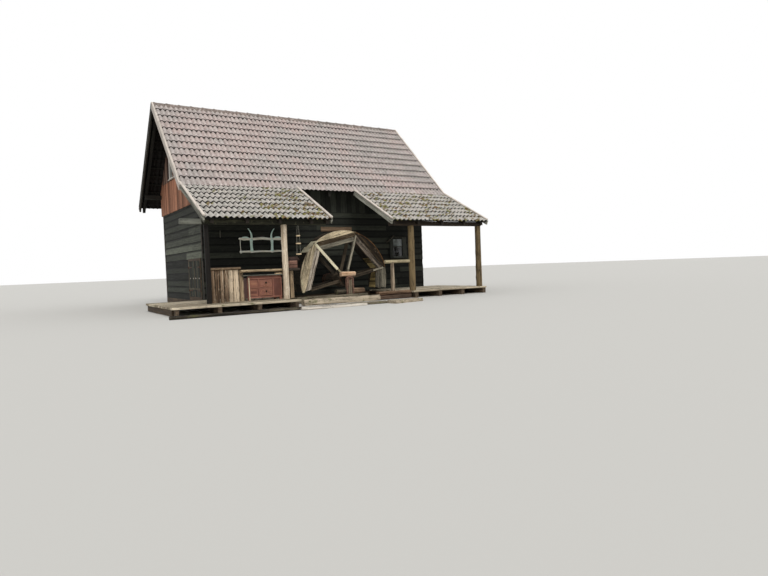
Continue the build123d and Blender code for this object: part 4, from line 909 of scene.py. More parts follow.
class WATERMILL_OT_porch_roofs(Operator):
    """Lay the tiles and battens of the two porch roofs"""

    bl_idname = "watermill.porch_roofs"
    bl_label = "Porch roofs"

    def execute(self, context):
        roof = context.scene.watermill_roof
        for node, seed in (("porch_roof_left", 21), ("porch_roof_right", 22)):
            low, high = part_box(node)
            bench = Bench(seed)
            eave, ridge = (-PORCH_EAVE, PORCH_EAVE_Z), (-EAVE_FRONT, EAVE_Z)
            battens(bench, low.x + 0.005, high.x - 0.005, eave, ridge, roof.porch_courses, finish_of("soffit_dark"))
            tile_field(
                bench, low.x, high.x, eave, ridge, roof.porch_courses, finish_of("porch_tile"), lap=0.03, level=0.004,
                extra=0.008)
            bench.piece(node + "_tiles", "mill", [node], "porch_tile")
        return {"FINISHED"}


class WATERMILL_OT_ridge(Operator):
    """Set the half-round ridge tiles in overlapping order"""

    bl_idname = "watermill.ridge"
    bl_label = "Ridge tiles"

    def execute(self, context):
        low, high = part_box("ridge_tiles")
        bench = Bench(31)
        count = round((high.x - low.x) / RIDGE_PITCH)
        pitch = (high.x - low.x) / count
        turn = np.linspace(-0.12, math.pi + 0.12, 17)
        centre = high.z - 0.15
        for i in range(count):
            x = low.x + i * pitch
            tilt, shift = bench.chance.normal(0, 0.0015, 2)
            stations = [
                (0, 0.128, 0.112), (0.012, 0.131, 0.112), (0.05, 0.129, 0.112), (0.06, 0.121, 0.108),
                (pitch + 0.03, 0.115, 0.102)]
            stations = [(min(d, high.x - x), a, b) for d, a, b in stations]
            rings = []
            for d, outer, inner in stations:
                arc = [
                    (r * math.cos(t), r * math.sin(t))
                    for r, order in ((outer, 1), (inner, -1)) for t in turn[::order]]
                rings.append([(x + d, y + shift, centre + z + tilt) for y, z in arc])
            bench.rings(rings, finish_of("ridge_tile"))
        bench.piece("ridge_row", "mill", ["ridge_tiles"], "roof_tile")
        return {"FINISHED"}


class WATERMILL_OT_edge_boards(Operator):
    """Fix the silvered boards along the gable edges of every roof"""

    bl_idname = "watermill.edge_boards"
    bl_label = "Roof edge boards"

    def execute(self, context):
        pale, grey = finishes("pale_boards", "verge_grey")
        for node, seed in (("bargeboards_left", 41), ("bargeboards_right", 42)):
            low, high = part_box(node)
            bench = Bench(seed)
            x = (low.x + high.x) / 2
            x += 0.011 if x > 0 else -0.011
            for side in (-1, 1):
                # The rear bargeboards take a near-black copy of the pale boards: painted shade
                board = finish_of("verge_dark") if side > 0 else pale
                for share0, share1 in ((0.0, 0.56), (0.56, 1.0)):
                    ends = []
                    for share in (share0, share1):
                        y = side * EAVE_FRONT * (1 - share)
                        ends.append((x, y, slope_point(abs(y), 0.07)))
                    out = (0, side * math.sin(ROOF_ANGLE), math.cos(ROOF_ANGLE))
                    bench.timber(
                        ends[0], ends[1], high.x - low.x + 0.022, 0.196, board, up=out, edge=0.005, rough=0.0012,
                        step=0.35)
                ends = [
                    (x - 0.004, side * EAVE_FRONT, slope_point(EAVE_FRONT, -0.022)),
                    (x - 0.004, side * 0.02, slope_point(0.02, -0.022))]
                bench.timber(
                    ends[0], ends[1], 0.06, 0.02, board, up=(0, side * math.sin(ROOF_ANGLE), math.cos(ROOF_ANGLE)),
                    edge=0.004, rough=0.001)
            bench.piece(node + "_silvered", "mill", [node], "pale_boards")
        low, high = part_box("porch_bargeboards")
        bench = Bench(43)
        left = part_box("porch_roof_left")
        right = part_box("porch_roof_right")
        thick = 0.032
        out = (0, -math.sin(PORCH_ANGLE), math.cos(PORCH_ANGLE))
        for x in (left[0].x - thick / 2, left[1].x + thick / 2, right[0].x - thick / 2, right[1].x + thick / 2):
            def edge(drop):
                return [
                    (x, -PORCH_EAVE - 0.012, PORCH_EAVE_Z - drop / math.cos(PORCH_ANGLE) - 0.006),
                    (x, -EAVE_FRONT - 0.002, EAVE_Z - drop / math.cos(PORCH_ANGLE))]
            bench.timber(*edge(0.055), thick, 0.148, grey, up=out, edge=0.005, rough=0.0015, step=0.3)
            bench.timber(*edge(-0.045), 0.07, 0.036, pale, up=out, edge=0.006, rough=0.001, step=0.5, tone=0.9)
        bench.piece("porch_edge_boards", "mill", ["porch_bargeboards"], "pale_boards")
        return {"FINISHED"}


class WATERMILL_OT_walls(Operator):
    """Board the four walls over their thick planks"""

    bl_idname = "watermill.walls"
    bl_label = "Walls"

    def execute(self, context):
        wood = context.scene.watermill_timber
        low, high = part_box("front_wall")
        start, end, _, _, sill, lintel = FRONT_WINDOW
        x0, x1, top = low.x, high.x, high.z
        dark, grey, inside = finishes("dark_boards", "grey_boards", "dark_inside")
        length = x1 - x0
        hole = (start - x0, end - x0, sill, lintel)
        shaft = (-SHAFT_HOLE - x0, SHAFT_HOLE - x0, HUB[1] - SHAFT_HOLE, HUB[1] + SHAFT_HOLE)
        bench = Bench(51)
        face = (x0, low.y, 0), (1, 0, 0), (0, -1, 0), length, low.z
        boarding(bench, *face, UPRIGHT_FROM, wood.board_height, dark, (hole, shaft))
        plank_core(bench, *face, top, inside, (hole, shaft))
        x = x0
        while x < x1 - 0.03:
            wide = min(bench.chance.uniform(0.15, 0.22), x1 - x)
            bench.upright(
                x + wide / 2, low.y + 0.013, UPRIGHT_FROM - 0.03, top, wide - 0.004, 0.022, dark, up=(0, -1, 0),
                rough=0.0012, step=0.4)
            x += wide
        bench.piece("front_wall_boards", "mill", ["front_wall"], "dark_boards")

        bench = Bench(52)
        low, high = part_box("rear_wall")
        face = (x1, high.y, 0), (-1, 0, 0), (0, 1, 0), length, low.z, top
        boarding(bench, *face, wood.board_height, dark)
        plank_core(bench, *face, inside)
        bench.piece("rear_wall_boards", "mill", ["rear_wall"], "dark_boards")

        bench = Bench(53)
        low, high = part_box("right_wall")
        face = (high.x, low.y, 0), (0, 1, 0), (1, 0, 0), high.y - low.y, low.z, top
        boarding(bench, *face, RIGHT_BOARD, grey)
        plank_core(bench, *face, inside)
        bench.piece("right_wall_boards", "mill", ["right_wall"], "grey_boards")

        for node, seed in (("left_wall_upper", 54), ("left_wall_rear", 55)):
            low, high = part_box(node)
            bench = Bench(seed)
            face = (low.x, high.y, 0), (0, -1, 0), (-1, 0, 0), high.y - low.y
            start = low.z
            if node.endswith("upper"):
                start = low.z + 4.2 * GREY_BOARD
                boarding(bench, *face, low.z, start, GREY_BOARD, grey, depth=0.036)
            # On the upper left wall the boards above the grey band are near-black: dark stain and painted shade under
            # the overhang
            boarding(bench, *face, start, high.z, LEFT_BOARD, dark)
            plank_core(bench, *face, low.z, high.z, inside)
            bench.piece(node + "_boards", "mill", [node], "grey_boards")
        low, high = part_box("left_corner_post")
        bench = Bench(56)
        middle = ((low.x + high.x) / 2, (low.y + high.y) / 2)
        bench.upright(*middle, low.z, high.z, high.x - low.x, high.y - low.y, dark, edge=0.012, rough=0.002)
        bench.piece("left_corner_timber", "mill", ["left_corner_post"], "dark_boards")
        return {"FINISHED"}


class WATERMILL_OT_gables(Operator):
    """Board both gables upright round their windows"""

    bl_idname = "watermill.gables"
    bl_label = "Gables"

    def execute(self, context):
        wood = context.scene.watermill_timber
        red, upper = finishes("gable_boards", "gable_upper")
        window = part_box("gable_windows")
        y0, y1, z0, z1 = window[0].y, window[1].y, window[0].z, window[1].z
        for node, side, seed in (("left_gable", -1, 61), ("right_gable", 1, 62)):
            low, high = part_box(node)
            outer = low.x if side < 0 else high.x
            bench = Bench(seed)
            count = round((high.y - low.y) / wood.gable_board)
            edges = np.linspace(low.y, high.y, count + 1)
            edges[1:-1] += bench.chance.uniform(-0.012, 0.012, count - 1)

            def top(y):
                return slope_point(abs(y), BED + 0.004)

            for a, b in zip(edges, edges[1:]):
                a, b = a + 0.0015, b - 0.0015
                foot = low.z + bench.chance.uniform(-0.004, 0.012)
                tone = bench.chance.uniform(0, 1)
                crown = [(b, top(b)), (a, top(a))]
                if a < 0 < b:
                    crown.insert(1, (0, top(0)))

                def fix(outline, finish):
                    points = [(-y, z) for y, z in outline][::-1] if side < 0 else outline
                    origin, along = (outer - side * GABLE_THICK, 0, 0), (0, side, 0)
                    bench.plate(
                        points, origin, along, (0, 0, 1), GABLE_THICK, finish, tone, edge=0.003, grain="across")

                if min(top(a), top(b)) < z0:
                    fix([(a, foot), (b, foot), *crown], red)
                    continue
                fix([(a, foot), (b, foot), (b, z0 - 0.04), (a, z0 - 0.04)], red)
                pieces = [[(a, foot), (b, foot), *crown]]
                if b > y0 and a < y1:
                    pieces = [[(a, z1), (b, z1), *crown]]
                    if a < y0 or b > y1:
                        c, d = (a, y0) if a < y0 else (y1, b)
                        pieces.append([(c, z0), (d, z0), (d, z1), (c, z1)])
                for outline in pieces:
                    # Boards above the window sill take the darker upper finish: mostly painted shade under the roof
                    # edge
                    fix([(y, max(z, z0 - 0.036)) for y, z in outline], upper)
            back = outer - side * 0.031
            rails = [(z, z + 0.12) for z in (low.z, z0 - 0.14, z1 + 0.02, 5.75)]
            for r0, r1 in rails:
                rise = r1 + (BED + 0.01) / math.cos(ROOF_ANGLE) - EAVE_Z
                reach = min(high.y, EAVE_FRONT - rise / math.tan(ROOF_ANGLE))
                bench.cross(back, -reach, reach, (r0 + r1) / 2, 0.016, r1 - r0, finish_of("dark_inside"), step=0.8)
            bench.piece(node + "_boards", "mill", [node], "gable_boards")
        return {"FINISHED"}


def hung(bench, centre, across, up, out, width, height, bar, depth, finish, bars):
    """Frame of four timbers round an opening, with upright or level bars inside it."""
    centre, across, up, out = (np.asarray(v, float) for v in (centre, across, up, out))
    for way in (-1, 1):
        x = centre + across * way * (width - bar) / 2
        bench.timber(x - up * height / 2, x + up * height / 2, bar, depth, finish, up=out, edge=0.005, rough=0.0006)
        z = centre + up * way * (height - bar) / 2
        reach = across * (width / 2 - bar)
        bench.timber(z - reach, z + reach, bar, depth * 0.94, finish, up=out, edge=0.005, rough=0.0006)
    for kind, share, thick in bars:
        if kind == "upright":
            middle, reach = centre + across * (share - 0.5) * width, up * (height / 2 - bar)
        else:
            middle, reach = centre + up * (share - 0.5) * height, across * (width / 2 - bar)
        bench.timber(middle - reach, middle + reach, thick, depth * 0.6, finish, up=out, edge=0.004, rough=0.0006)


class WATERMILL_OT_windows(Operator):
    """Make the gable windows and the small porch window with its hood"""

    bl_idname = "watermill.windows"
    bl_label = "Windows"

    def execute(self, context):
        low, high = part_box("gable_windows")
        bench = Bench(71)
        pale = finish_of("sash_pale")
        width, height = high.y - low.y, high.z - low.z
        jamb = finish_of("jamb_white")
        for side in (-1, 1):
            x = side * (abs(low.x) - 0.045)
            centre = (x, (low.y + high.y) / 2, (low.z + high.z) / 2)
            hung(
                bench, centre, (0, 1, 0), (0, 0, 1), (side, 0, 0), width, height, 0.06, 0.09, pale,
                [("upright", 0.5, 0.03), ("level", 0.5, 0.022)])
            sill = (side * (abs(low.x) + 0.008), 0, low.z - 0.012)
            bench.cross(
                sill[0], low.y - 0.05, high.y + 0.05, sill[2], 0.075, 0.028, pale, up=(side * 0.2, 0, 1), edge=0.006)
            for y in (low.y - 0.03, high.y + 0.03):
                bench.upright(
                    side * (abs(low.x) - 0.016), y, low.z, high.z + 0.02, 0.075, 0.018, jamb, up=(side, 0, 0),
                    edge=0.004)
        bench.piece("gable_window_frames", "mill", ["gable_windows"], "pale_boards")
        bench = Bench(73)
        shutter = finish_of("shutter_wood")
        for y in (0.085, 0.215, 0.345):
            bench.upright(
                low.x - 0.004, y, low.z + 0.02, high.z - 0.03, 0.126, 0.024, shutter, up=(-1, 0, 0), edge=0.004,
                rough=0.0008)
        for z in (low.z + 0.14, high.z - 0.16):
            bench.cross(low.x - 0.027, 0.03, 0.4, z, 0.022, 0.07, shutter, edge=0.004, rough=0.0008)
        bench.piece("gable_shutter", "mill", slot="gable_boards")

        x0, x1, y0, y1, z0, z1 = FRONT_WINDOW
        bench = Bench(72)
        frame_wood, hood = finishes("window_frame", "hood_boards")
        centre = ((x0 + x1) / 2, (y0 + y1) / 2, (z0 + z1) / 2)
        hung(
            bench, centre, (1, 0, 0), (0, 0, 1), (0, -1, 0), x1 - x0, z1 - z0, 0.06, y1 - y0, frame_wood,
            [("level", 0.56, 0.032)])
        bench.level(x0 - 0.04, x1 + 0.04, y0 - 0.008, z0 - 0.012, 0.08, 0.024, hood, edge=0.004)
        bench.level(x0 - 0.03, x1 + 0.06, y0 - 0.015, z1 + 0.012, 0.072, 0.024, hood, edge=0.004)
        slope = math.radians(38)
        rise = np.array([-math.sin(slope), 0, math.cos(slope)])
        start = np.array([x0 - 0.2, y0 - 0.018, z1 - 0.17]) + rise * 0.012
        bench.timber(
            start, start + np.array([math.cos(slope), 0, math.sin(slope)]) * 0.36, 0.074, 0.024, hood, up=rise,
            edge=0.004, rough=0.001)
        for x in (x0 - 0.045, x1 + 0.045):
            bench.upright(x, y0 + 0.006, z0 - 0.02, z1 + 0.02, 0.09, 0.024, frame_wood, up=(0, -1, 0), edge=0.004)
        bench.piece("porch_window", "mill", ["front_window"], "frame_timber")
        return {"FINISHED"}


class WATERMILL_OT_low_door(Operator):
    """Face the low double door with battens, panels and small fittings"""

    bl_idname = "watermill.low_door"
    bl_label = "Low double door"

    def execute(self, context):
        dark, frame_wood = finishes("dark_boards", "door_stile")
        for node, seed in (("door_leaf_front", 81), ("door_leaf_rear", 82)):
            low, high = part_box(node)
            bench = Bench(seed)
            face = DOOR_FACE
            y0, y1 = LEAF_FRONT if node.endswith("front") else LEAF_REAR
            z0, z1 = low.z, high.z
            edges = np.linspace(y0, y1, 5)
            for a, b in zip(edges, edges[1:]):
                bench.upright(
                    face + 0.019, (a + b) / 2, z0, z1, b - a - 0.001, 0.037, dark, up=(-1, 0, 0), edge=0.004,
                    rough=0.0006, step=0.3)
            panel_top = z0 + 0.24
            straps = (z0 + 0.17, z1 - 0.21)
            for y in (y0 + 0.03, (y0 + y1) / 2, y1 - 0.03):
                for a, b in (
                    (z0 + 0.005, straps[0] - 0.006), (straps[0] + 0.046, straps[1] - 0.006),
                    (straps[1] + 0.046, z1 - 0.005)
                ):
                    bench.upright(
                        face - 0.003, y, a, b, 0.04, 0.008, frame_wood, up=(-1, 0, 0), edge=0.002, rough=0.0003)
            bench.cross(
                face - 0.003, y0 + 0.05, y1 - 0.05, panel_top, 0.05, 0.008, frame_wood, up=(-1, 0, 0), edge=0.002,
                rough=0.0003)
            middle = (z0 + z1) / 2 + 0.02
            for y in (y0 + 0.13, y1 - 0.13):
                bench.upright(
                    face - 0.001, y, middle - 0.018, middle + 0.018, 0.05, 0.01, finish_of("pale_boards"),
                    up=(-1, 0, 0), edge=0.004, rough=0)
            way = 1 if node.endswith("front") else -1
            hinge = y0 - 0.010 if way > 0 else y1 + 0.010
            iron = finish_of("iron")
            for z in straps:
                strap = STRAP if way > 0 else [STRAP[0], *((-y, up) for y, up in STRAP[:0:-1])]
                bench.plate(strap, (face, hinge, z), (0, 1, 0), (0, 0, 1), -0.005, iron, edge=-0.0012)
                rings = turned(face - 0.0123, hinge, z, HINGE_EYE, 16, "z")
                n, m = rings.shape[:2]
                at = np.arange(n * m).reshape(n, m)
                faces = [
                    (at[i, j], at[(i + 1) % n, j], at[(i + 1) % n, (j + 1) % m], at[i, (j + 1) % m])
                    for i in range(n) for j in range(m)]
                bench.add(rings, faces, rings, 0.5, iron)
                for dy in (0.09, 0.22, 0.33):
                    rings = turned(face - 0.0052, hinge + way * dy, z + 0.02, RIVET, 8, "x")
                    bench.rings(rings, iron)
            bench.piece(node + "_boards", node, [node], "dark_boards")
        return {"FINISHED"}


class WATERMILL_OT_posts(Operator):
    """Stand the porch posts and lay the porch beams"""

    bl_idname = "watermill.posts"
    bl_label = "Porch posts and beams"

    def execute(self, context):
        for node, seed, finish, slot, knots in (
            ("log_post", 91, "peeled_log", "peeled_log", 14), ("round_posts", 92, "dark_log", "brown_log", 8)
        ):
            low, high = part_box(node)
            bench = Bench(seed)
            radius = (high.y - low.y) / 2
            places = [(low.x + high.x) / 2] if node == "log_post" else [low.x + radius, high.x - radius]
            for x in places:
                y = (low.y + high.y) / 2
                bench.log(
                    (x, y, low.z), (x, y, high.z + 0.004), radius * 0.985, radius * 0.93, finish_of(finish), sides=28,
                    step=0.045, knots=knots, lumps=0.022, up=(0, 1, 0))
            bench.piece(node + "_timber", "mill", [node], slot)
        low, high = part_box("corner_post")
        bench = Bench(93)
        x, y = (low.x + high.x) / 2, (low.y + high.y) / 2
        bench.upright(
            x, y, low.z, high.z, high.x - low.x, high.y - low.y, finish_of("black_timber"), edge=0.012, rough=0.002,
            step=0.2)
        bench.piece("corner_post_timber", "mill", ["corner_post"], "frame_timber")
        low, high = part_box("porch_beams")
        bench = Bench(94)
        y, z = (low.y + high.y) / 2, (low.z + high.z) / 2
        left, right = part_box("porch_roof_left"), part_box("porch_roof_right")
        wide, deep = high.y - low.y, high.z - low.z
        bench.level(
            low.x, left[0].x - 0.02, y, z, wide * 0.98, deep * 0.98, finish_of("overrun_grey"), edge=0.01,
            rough=0.0022, step=0.12, tone=0.6)
        bench.level(
            left[0].x - 0.02, left[1].x - 0.06, y, z, wide, deep, finish_of("porch_beam"), edge=0.01, rough=0.002,
            step=0.25)
        bench.level(
            right[0].x + 0.06, high.x, y, z, wide, deep, finish_of("frame_timber"), edge=0.01, rough=0.002, step=0.25)
        bench.piece("porch_beam_timbers", "mill", ["porch_beams"], "frame_timber")
        return {"FINISHED"}


class WATERMILL_OT_decks(Operator):
    """Lay the deck and floor boards"""

    bl_idname = "watermill.decks"
    bl_label = "Decks and floor"

    def execute(self, context):
        wide = context.scene.watermill_timber.deck_board
        for node, seed, finish, slot in (
            ("deck_left", 101, "deck_boards", "deck_boards"), ("deck_right", 102, "deck_boards", "deck_boards"),
            ("ground_floor", 103, "dark_inside", "deck_boards")
        ):
            low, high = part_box(node)
            bench = Bench(seed)
            count = round((high.y - low.y) / wide)
            edges = np.linspace(low.y, high.y, count + 1)
            edges[1:-1] += bench.chance.uniform(-0.012, 0.012, count - 1)
            for row, (a, b) in enumerate(zip(edges, edges[1:])):
                seams = [low.x, high.x]
                if high.x - low.x > 5 or row % 3 == 1:
                    seams.insert(1, low.x + (high.x - low.x) * bench.chance.uniform(0.35, 0.65))
                for x0, x1 in zip(seams, seams[1:]):
                    over = bench.chance.uniform(0, 0.02) if node != "ground_floor" else 0
                    z = (low.z + high.z) / 2 - abs(bench.chance.normal(0, 0.0012))
                    bench.level(
                        x0 + over, x1 - (over if x1 == high.x else 0.003), (a + b) / 2, z, b - a - 0.006,
                        high.z - low.z, finish_of(finish), edge=0.007, rough=0.0016, step=0.35)
            bench.piece(node + "_planks", "mill", [node], slot)
        return {"FINISHED"}


class WATERMILL_OT_ground_timbers(Operator):
    """Lay the old timbers on the ground before the wheel, and the step"""

    bl_idname = "watermill.ground_timbers"
    bl_label = "Ground timbers and step"

    def execute(self, context):
        bench = Bench(111)
        old, brown, under, dark = finishes("ground_timber", "sill_brown", "sill_dark", "sill_grey")
        low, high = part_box("ground_timbers")
        bench.level(-1.78, 0.6, -4.065, 0.1, 0.2, 0.192, dark, edge=0.03, rough=0.005, step=0.09)
        bench.level(low.x, 0.438, -5.03, 0.086, 0.21, 0.158, old, edge=0.028, rough=0.006, step=0.08)
        bench.level(0.442, high.x, -4.967, 0.074, 0.166, 0.134, under, edge=0.02, rough=0.004, step=0.1)
        bench.level(0.442, high.x, -4.975, 0.164, 0.182, 0.036, brown, edge=0.01, rough=0.003, step=0.1, tone=0.3)
        bench.level(
            0.448, high.x - 0.004, -4.97, 0.2165, 0.174, 0.062, brown, edge=0.018, rough=0.004, step=0.1, tone=0.85)
        bench.piece("hewn_sills", "mill", ["ground_timbers"], "grey_boards")
        bench = Bench(112)
        low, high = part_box("edge_log")
        middle, z = (low.y + high.y) / 2, (low.z + high.z) / 2
        for a, b, drop, tone in ((low.x, -3.55, 0.004, 0.2), (-3.54, -1.72, 0.0, 0.35), (-1.71, high.x, 0.006, 0.75)):
            bench.timber(
                (a, middle, z - drop / 2), (b, middle + bench.chance.normal(0, 0.004), z - drop / 2),
                (high.y - low.y) * 0.94, high.z - low.z - drop - 0.008, dark, edge=0.022, rough=0.0035, step=0.12,
                tone=tone)
        bench.piece("edge_timber", "mill", ["edge_log"], "grey_boards")
        bench = Bench(113)
        low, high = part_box("step_slab")
        corners = np.array(STEP_CORNERS)
        ring = []
        for a, b in zip(corners, np.roll(corners, -1, 0)):
            for t in np.linspace(0, 1, 12, endpoint=False):
                ring.append(a + (b - a) * t)
        ring = np.array(ring)
        inward = ring.mean(0) - ring
        inward /= np.linalg.norm(inward, axis=1)[:, None]
        uneven = np.abs(bench.chance.normal(0, 0.006, len(ring)))[:, None]
        layers = [(0.004, 0.0), (0.0, 0.03), (0.004, high.z - 0.014), (0.02, high.z - 0.002), (0.12, high.z - 0.003)]
        rings = []
        for step, z in layers:
            heights = np.full(len(ring), z)
            if z > 0.05:
                heights = heights - 0.004 * bench.wander((len(ring),)) - 0.004
            rings.append(np.column_stack([ring + inward * (step + uneven), heights]))
        bench.rings(rings, old, 0.8)
        bench.piece("step_timber", "mill", ["step_slab"], "grey_boards")
        bench = Bench(114)
        pale = finish_of("bleached_log")
        bench.log(
            (-2.75, -6.6, 0.03), (-0.9, -6.59, 0.024), 0.05, 0.04, pale, sides=20, step=0.05, knots=9, lumps=0.05,
            up=(0, 0, 1), tone=0.7)
        bench.piece("front_log", "mill", slot="grey_boards")
        bench = Bench(115)
        for a, b, y, thick, finish, tone in (
            (0.12, 0.52, -4.04, 0.09, brown, 0.9), (-0.46, -0.13, -4.045, 0.084, dark, 0.35)
        ):
            bench.log(
                (a, y, 0.2 + thick * 0.95), (b, y + 0.01, 0.2 + thick * 0.95), thick, thick * 0.92, finish, sides=20,
                step=0.04, knots=3, lumps=0.06, up=(0, 0, 1), tone=tone)
        bench.piece("short_logs", "mill", slot="grey_boards")
        return {"FINISHED"}


def polygon_ring(radius, turns, shares):
    """Points along the sides of a polygon round the hub, as x and z."""
    corners = [HUB + radius * np.array([math.cos(turn), math.sin(turn)]) for turn in turns]
    return [a + (b - a) * s for a, b in zip(corners, corners[1:] + corners[:1]) for s in shares]


def in_plane(bench, a, b, y, width, depth, finish, out, **looks):
    """Timber in a plane of the wheel between two of its points."""
    bench.timber((a[0], y, a[1]), (b[0], y, b[1]), width, depth, finish, up=(out[0], 0, out[1]), **looks)


def beside(angle):
    """Upward side of an arm at an angle, as x and z."""
    across = heading(angle + 90)
    return -across if angle > 90 else across


def rim_board(
    bench, start, end, low, high, front, back, finish, wear, radial=5, stations=22, tone=None, straight=True
):
    """Rim timber between two arms: low edge straight, high edge round or straight; distances are from the hub."""
    middle, half = (start + end) / 2, (end - start) / 2 - RIM_GAP
    across = heading(middle)
    along = np.array([-across[1], across[0]])
    share = np.linspace(-1, 1, stations)
    cut = math.tan(math.radians(half))
    relief = bench.wander((stations, radial + 1)) * wear * 0.35 + bench.chance.normal(0, wear * 0.5, radial + 1)[None]
    relief = np.maximum(relief, 0)
    edge = bench.wander((stations, 2)) * wear * 0.35
    rings, grain = [], []
    for i, u in enumerate(share):
        bottom = HUB + across * low + along * (low * cut * u) if straight else on_wheel(low, middle + u * half)
        if high > FLAT_BELOW:
            top = on_wheel(high, middle + u * half)
        else:
            top = HUB + across * high + along * (high * cut * u)
        outward = (top - bottom) / max(np.linalg.norm(top - bottom), 1e-6)
        bottom, top = bottom + outward * abs(edge[i, 0]), top - outward * abs(edge[i, 1])
        face = [bottom + (top - bottom) * k / radial for k in range(radial + 1)]
        ring = [(p[0], front + relief[i, k] + (0.003 if k in (0, radial) else 0), p[1]) for k, p in enumerate(face)]
        ring += [(p[0], back - 0.003 if k in (0, radial) else back, p[1]) for k, p in reversed(list(enumerate(face)))]
        rings.append(ring)
        grain.append(
            [(np.dot(np.array([x, z]) - HUB, along), np.dot(np.array([x, z]) - HUB, across), y) for x, y, z in ring])
    bench.rings(rings, finish, tone, grain)


def bolt(bench, x, y, z, radius=0.013):
    """Old square-shanked bolt head on a front face."""
    rings = turned(x, y, z, ((radius, 0.004), (radius, -0.005), (radius * 0.75, -0.009), (radius * 0.2, -0.0105)), 10)
    bench.rings(rings, finish_of("iron"))


class WATERMILL_OT_wheel_rim(Operator):
    """Build the broken rim of the wheel out of its two rings and the boards between them"""

    bl_idname = "watermill.wheel_rim"
    bl_label = "Wheel rim"

    def execute(self, context):
        wear = context.scene.watermill_wheel.wear
        grey, tan, dark, orange = finishes("wheel_grey", "rim_tan", "wheel_dark", "rim_orange")
        olive, fibre, brown, bleached = finishes("rim_olive", "wheel_fibre", "wheel_brown", "wheel_bleached")
        bench = Bench(121)
        front, back = WHEEL_FRONT, WHEEL_FRONT + RING
        rim_board(bench, 13, 73, RIM_INNER, 1.238, front + 0.006, back, fibre, wear=wear, tone=0.35)
        rim_board(bench, 13, 73, 1.246, 1.484, front + 0.012, back, brown, radial=7, wear=wear * 1.3, tone=0.15)
        rim_board(
            bench, 13, 73, 1.482, RIM_OUTER, front + 0.004, back + 0.002, orange, radial=1, wear=wear * 0.6,
            straight=False)
        rim_board(bench, 73, 133, RIM_INNER, 1.186, front + 0.006, back, grey, wear=wear, tone=0.5)
        rim_board(bench, 73, 133, 1.19, 1.33, front + 0.022, back, brown, wear=wear * 1.3, tone=0.35)
        rim_board(bench, 73, 133, 1.318, RIM_OUTER, front + 0.004, back, tan, radial=6, wear=wear * 1.6, tone=0.7)
        rim_board(bench, 133, 193, RIM_INNER, 1.215, front + 0.010, back, fibre, wear=wear, tone=0.7)
        rim_board(bench, 133, 193, 1.22, RIM_OUTER, front, back, tan, radial=7, wear=wear * 0.7, tone=0.55)
        rim_board(
            bench, 178, 194, 1.435, 1.497, front - 0.004, back - 0.01, bleached, radial=2, stations=12,
            wear=wear * 1.8, tone=0.5, straight=False)
        rim_board(bench, -15.6, 13, 1.1, 1.27, front + 0.004, back, grey, stations=12, wear=wear * 1.4, tone=0.25)
        rim_board(bench, -13.5, 13, 1.275, 1.49, front + 0.010, back, grey, stations=12, wear=wear * 1.6, tone=0.45)
        for angle in (13, 73, 133):
            for reach, turn in BOLTS:
                x, z = on_wheel(reach, angle + turn)
                bolt(bench, x, front + 0.004, z)
        bench.piece("rim_front", "wheel", ["felloes_front"], "wheel_timber")
        bench = Bench(122)
        front, back = WHEEL_BACK - RING, WHEEL_BACK
        for start in ARM_ANGLES[:3]:
            end = start + 60
            rim_board(bench, start, end, RIM_INNER, 1.238, front, back - 0.006, dark, wear=wear)
            rim_board(bench, start, end, 1.246, RIM_OUTER, front, back, dark, wear=wear)
        rim_board(bench, -15.6, 13, 1.1, 1.48, front, back, dark, stations=12, wear=wear)
        bench.piece("rim_back", "wheel", ["felloes_back"], "wheel_timber")

        bench = Bench(123)
        front, back = WHEEL_FRONT + RING + 0.001, WHEEL_BACK - RING - 0.001

        def board(centre, out, width, thick, y0, y1, finish, tone=None, rough=0.0015):
            bench.cross(
                centre[0], y0, y1, centre[1], float(width), thick, finish, up=(out[0], 0, out[1]), edge=0.004,
                rough=rough, step=0.1, tone=tone)

        def lying(a, b, radius, thick, y0, y1, finish, tone):
            first, second = on_wheel(radius, a), on_wheel(radius, b)
            middle = (first + second) / 2
            out = (middle - HUB) / np.linalg.norm(middle - HUB)
            board(middle - out * thick / 2, out, np.linalg.norm(second - first), thick, y0, y1, finish, tone)

        for i in range(6):
            a = 137 + 9.33 * i
            lying(a, a + 9.15, 1.4955, 0.03, front, back, dark, 0.1 + 0.3 * bench.chance.uniform())
        lying(127.5, 136.8, 1.497, 0.03, front - 0.068, back + 0.068, bleached, 0.8)
        lying(137.2, 141.5, 1.512, 0.026, front + 0.03, back + 0.07, bleached, 0.7)
        lying(141.6, 145.5, 1.512, 0.026, front - 0.06, back + 0.07, bleached, 0.75)
        corner = RIM_INNER / math.cos(math.radians(30))
        foot = on_wheel(corner, 13)
        along = on_wheel(corner, 73) - foot
        out = heading(43)
        for low, high in ((0.03, 0.2), (0.21, 0.38)):
            middle = foot + along * (low + high) / 2 + out * 0.016
            board(middle, out, np.linalg.norm(along) * (high - low), 0.03, front, back, olive)
        first, second = on_wheel(1.224, 12), on_wheel(1.1024, -16)
        middle, run = (first + second) / 2, first - second
        tilt = np.array([run[1], -run[0]]) / np.linalg.norm(run)
        board(middle + tilt * 0.016, tilt, np.linalg.norm(run), 0.03, front, back, olive, rough=0.002)
        bench.piece("rim_planks", "wheel", ["rim_boards"], "wheel_timber")
        return {"FINISHED"}


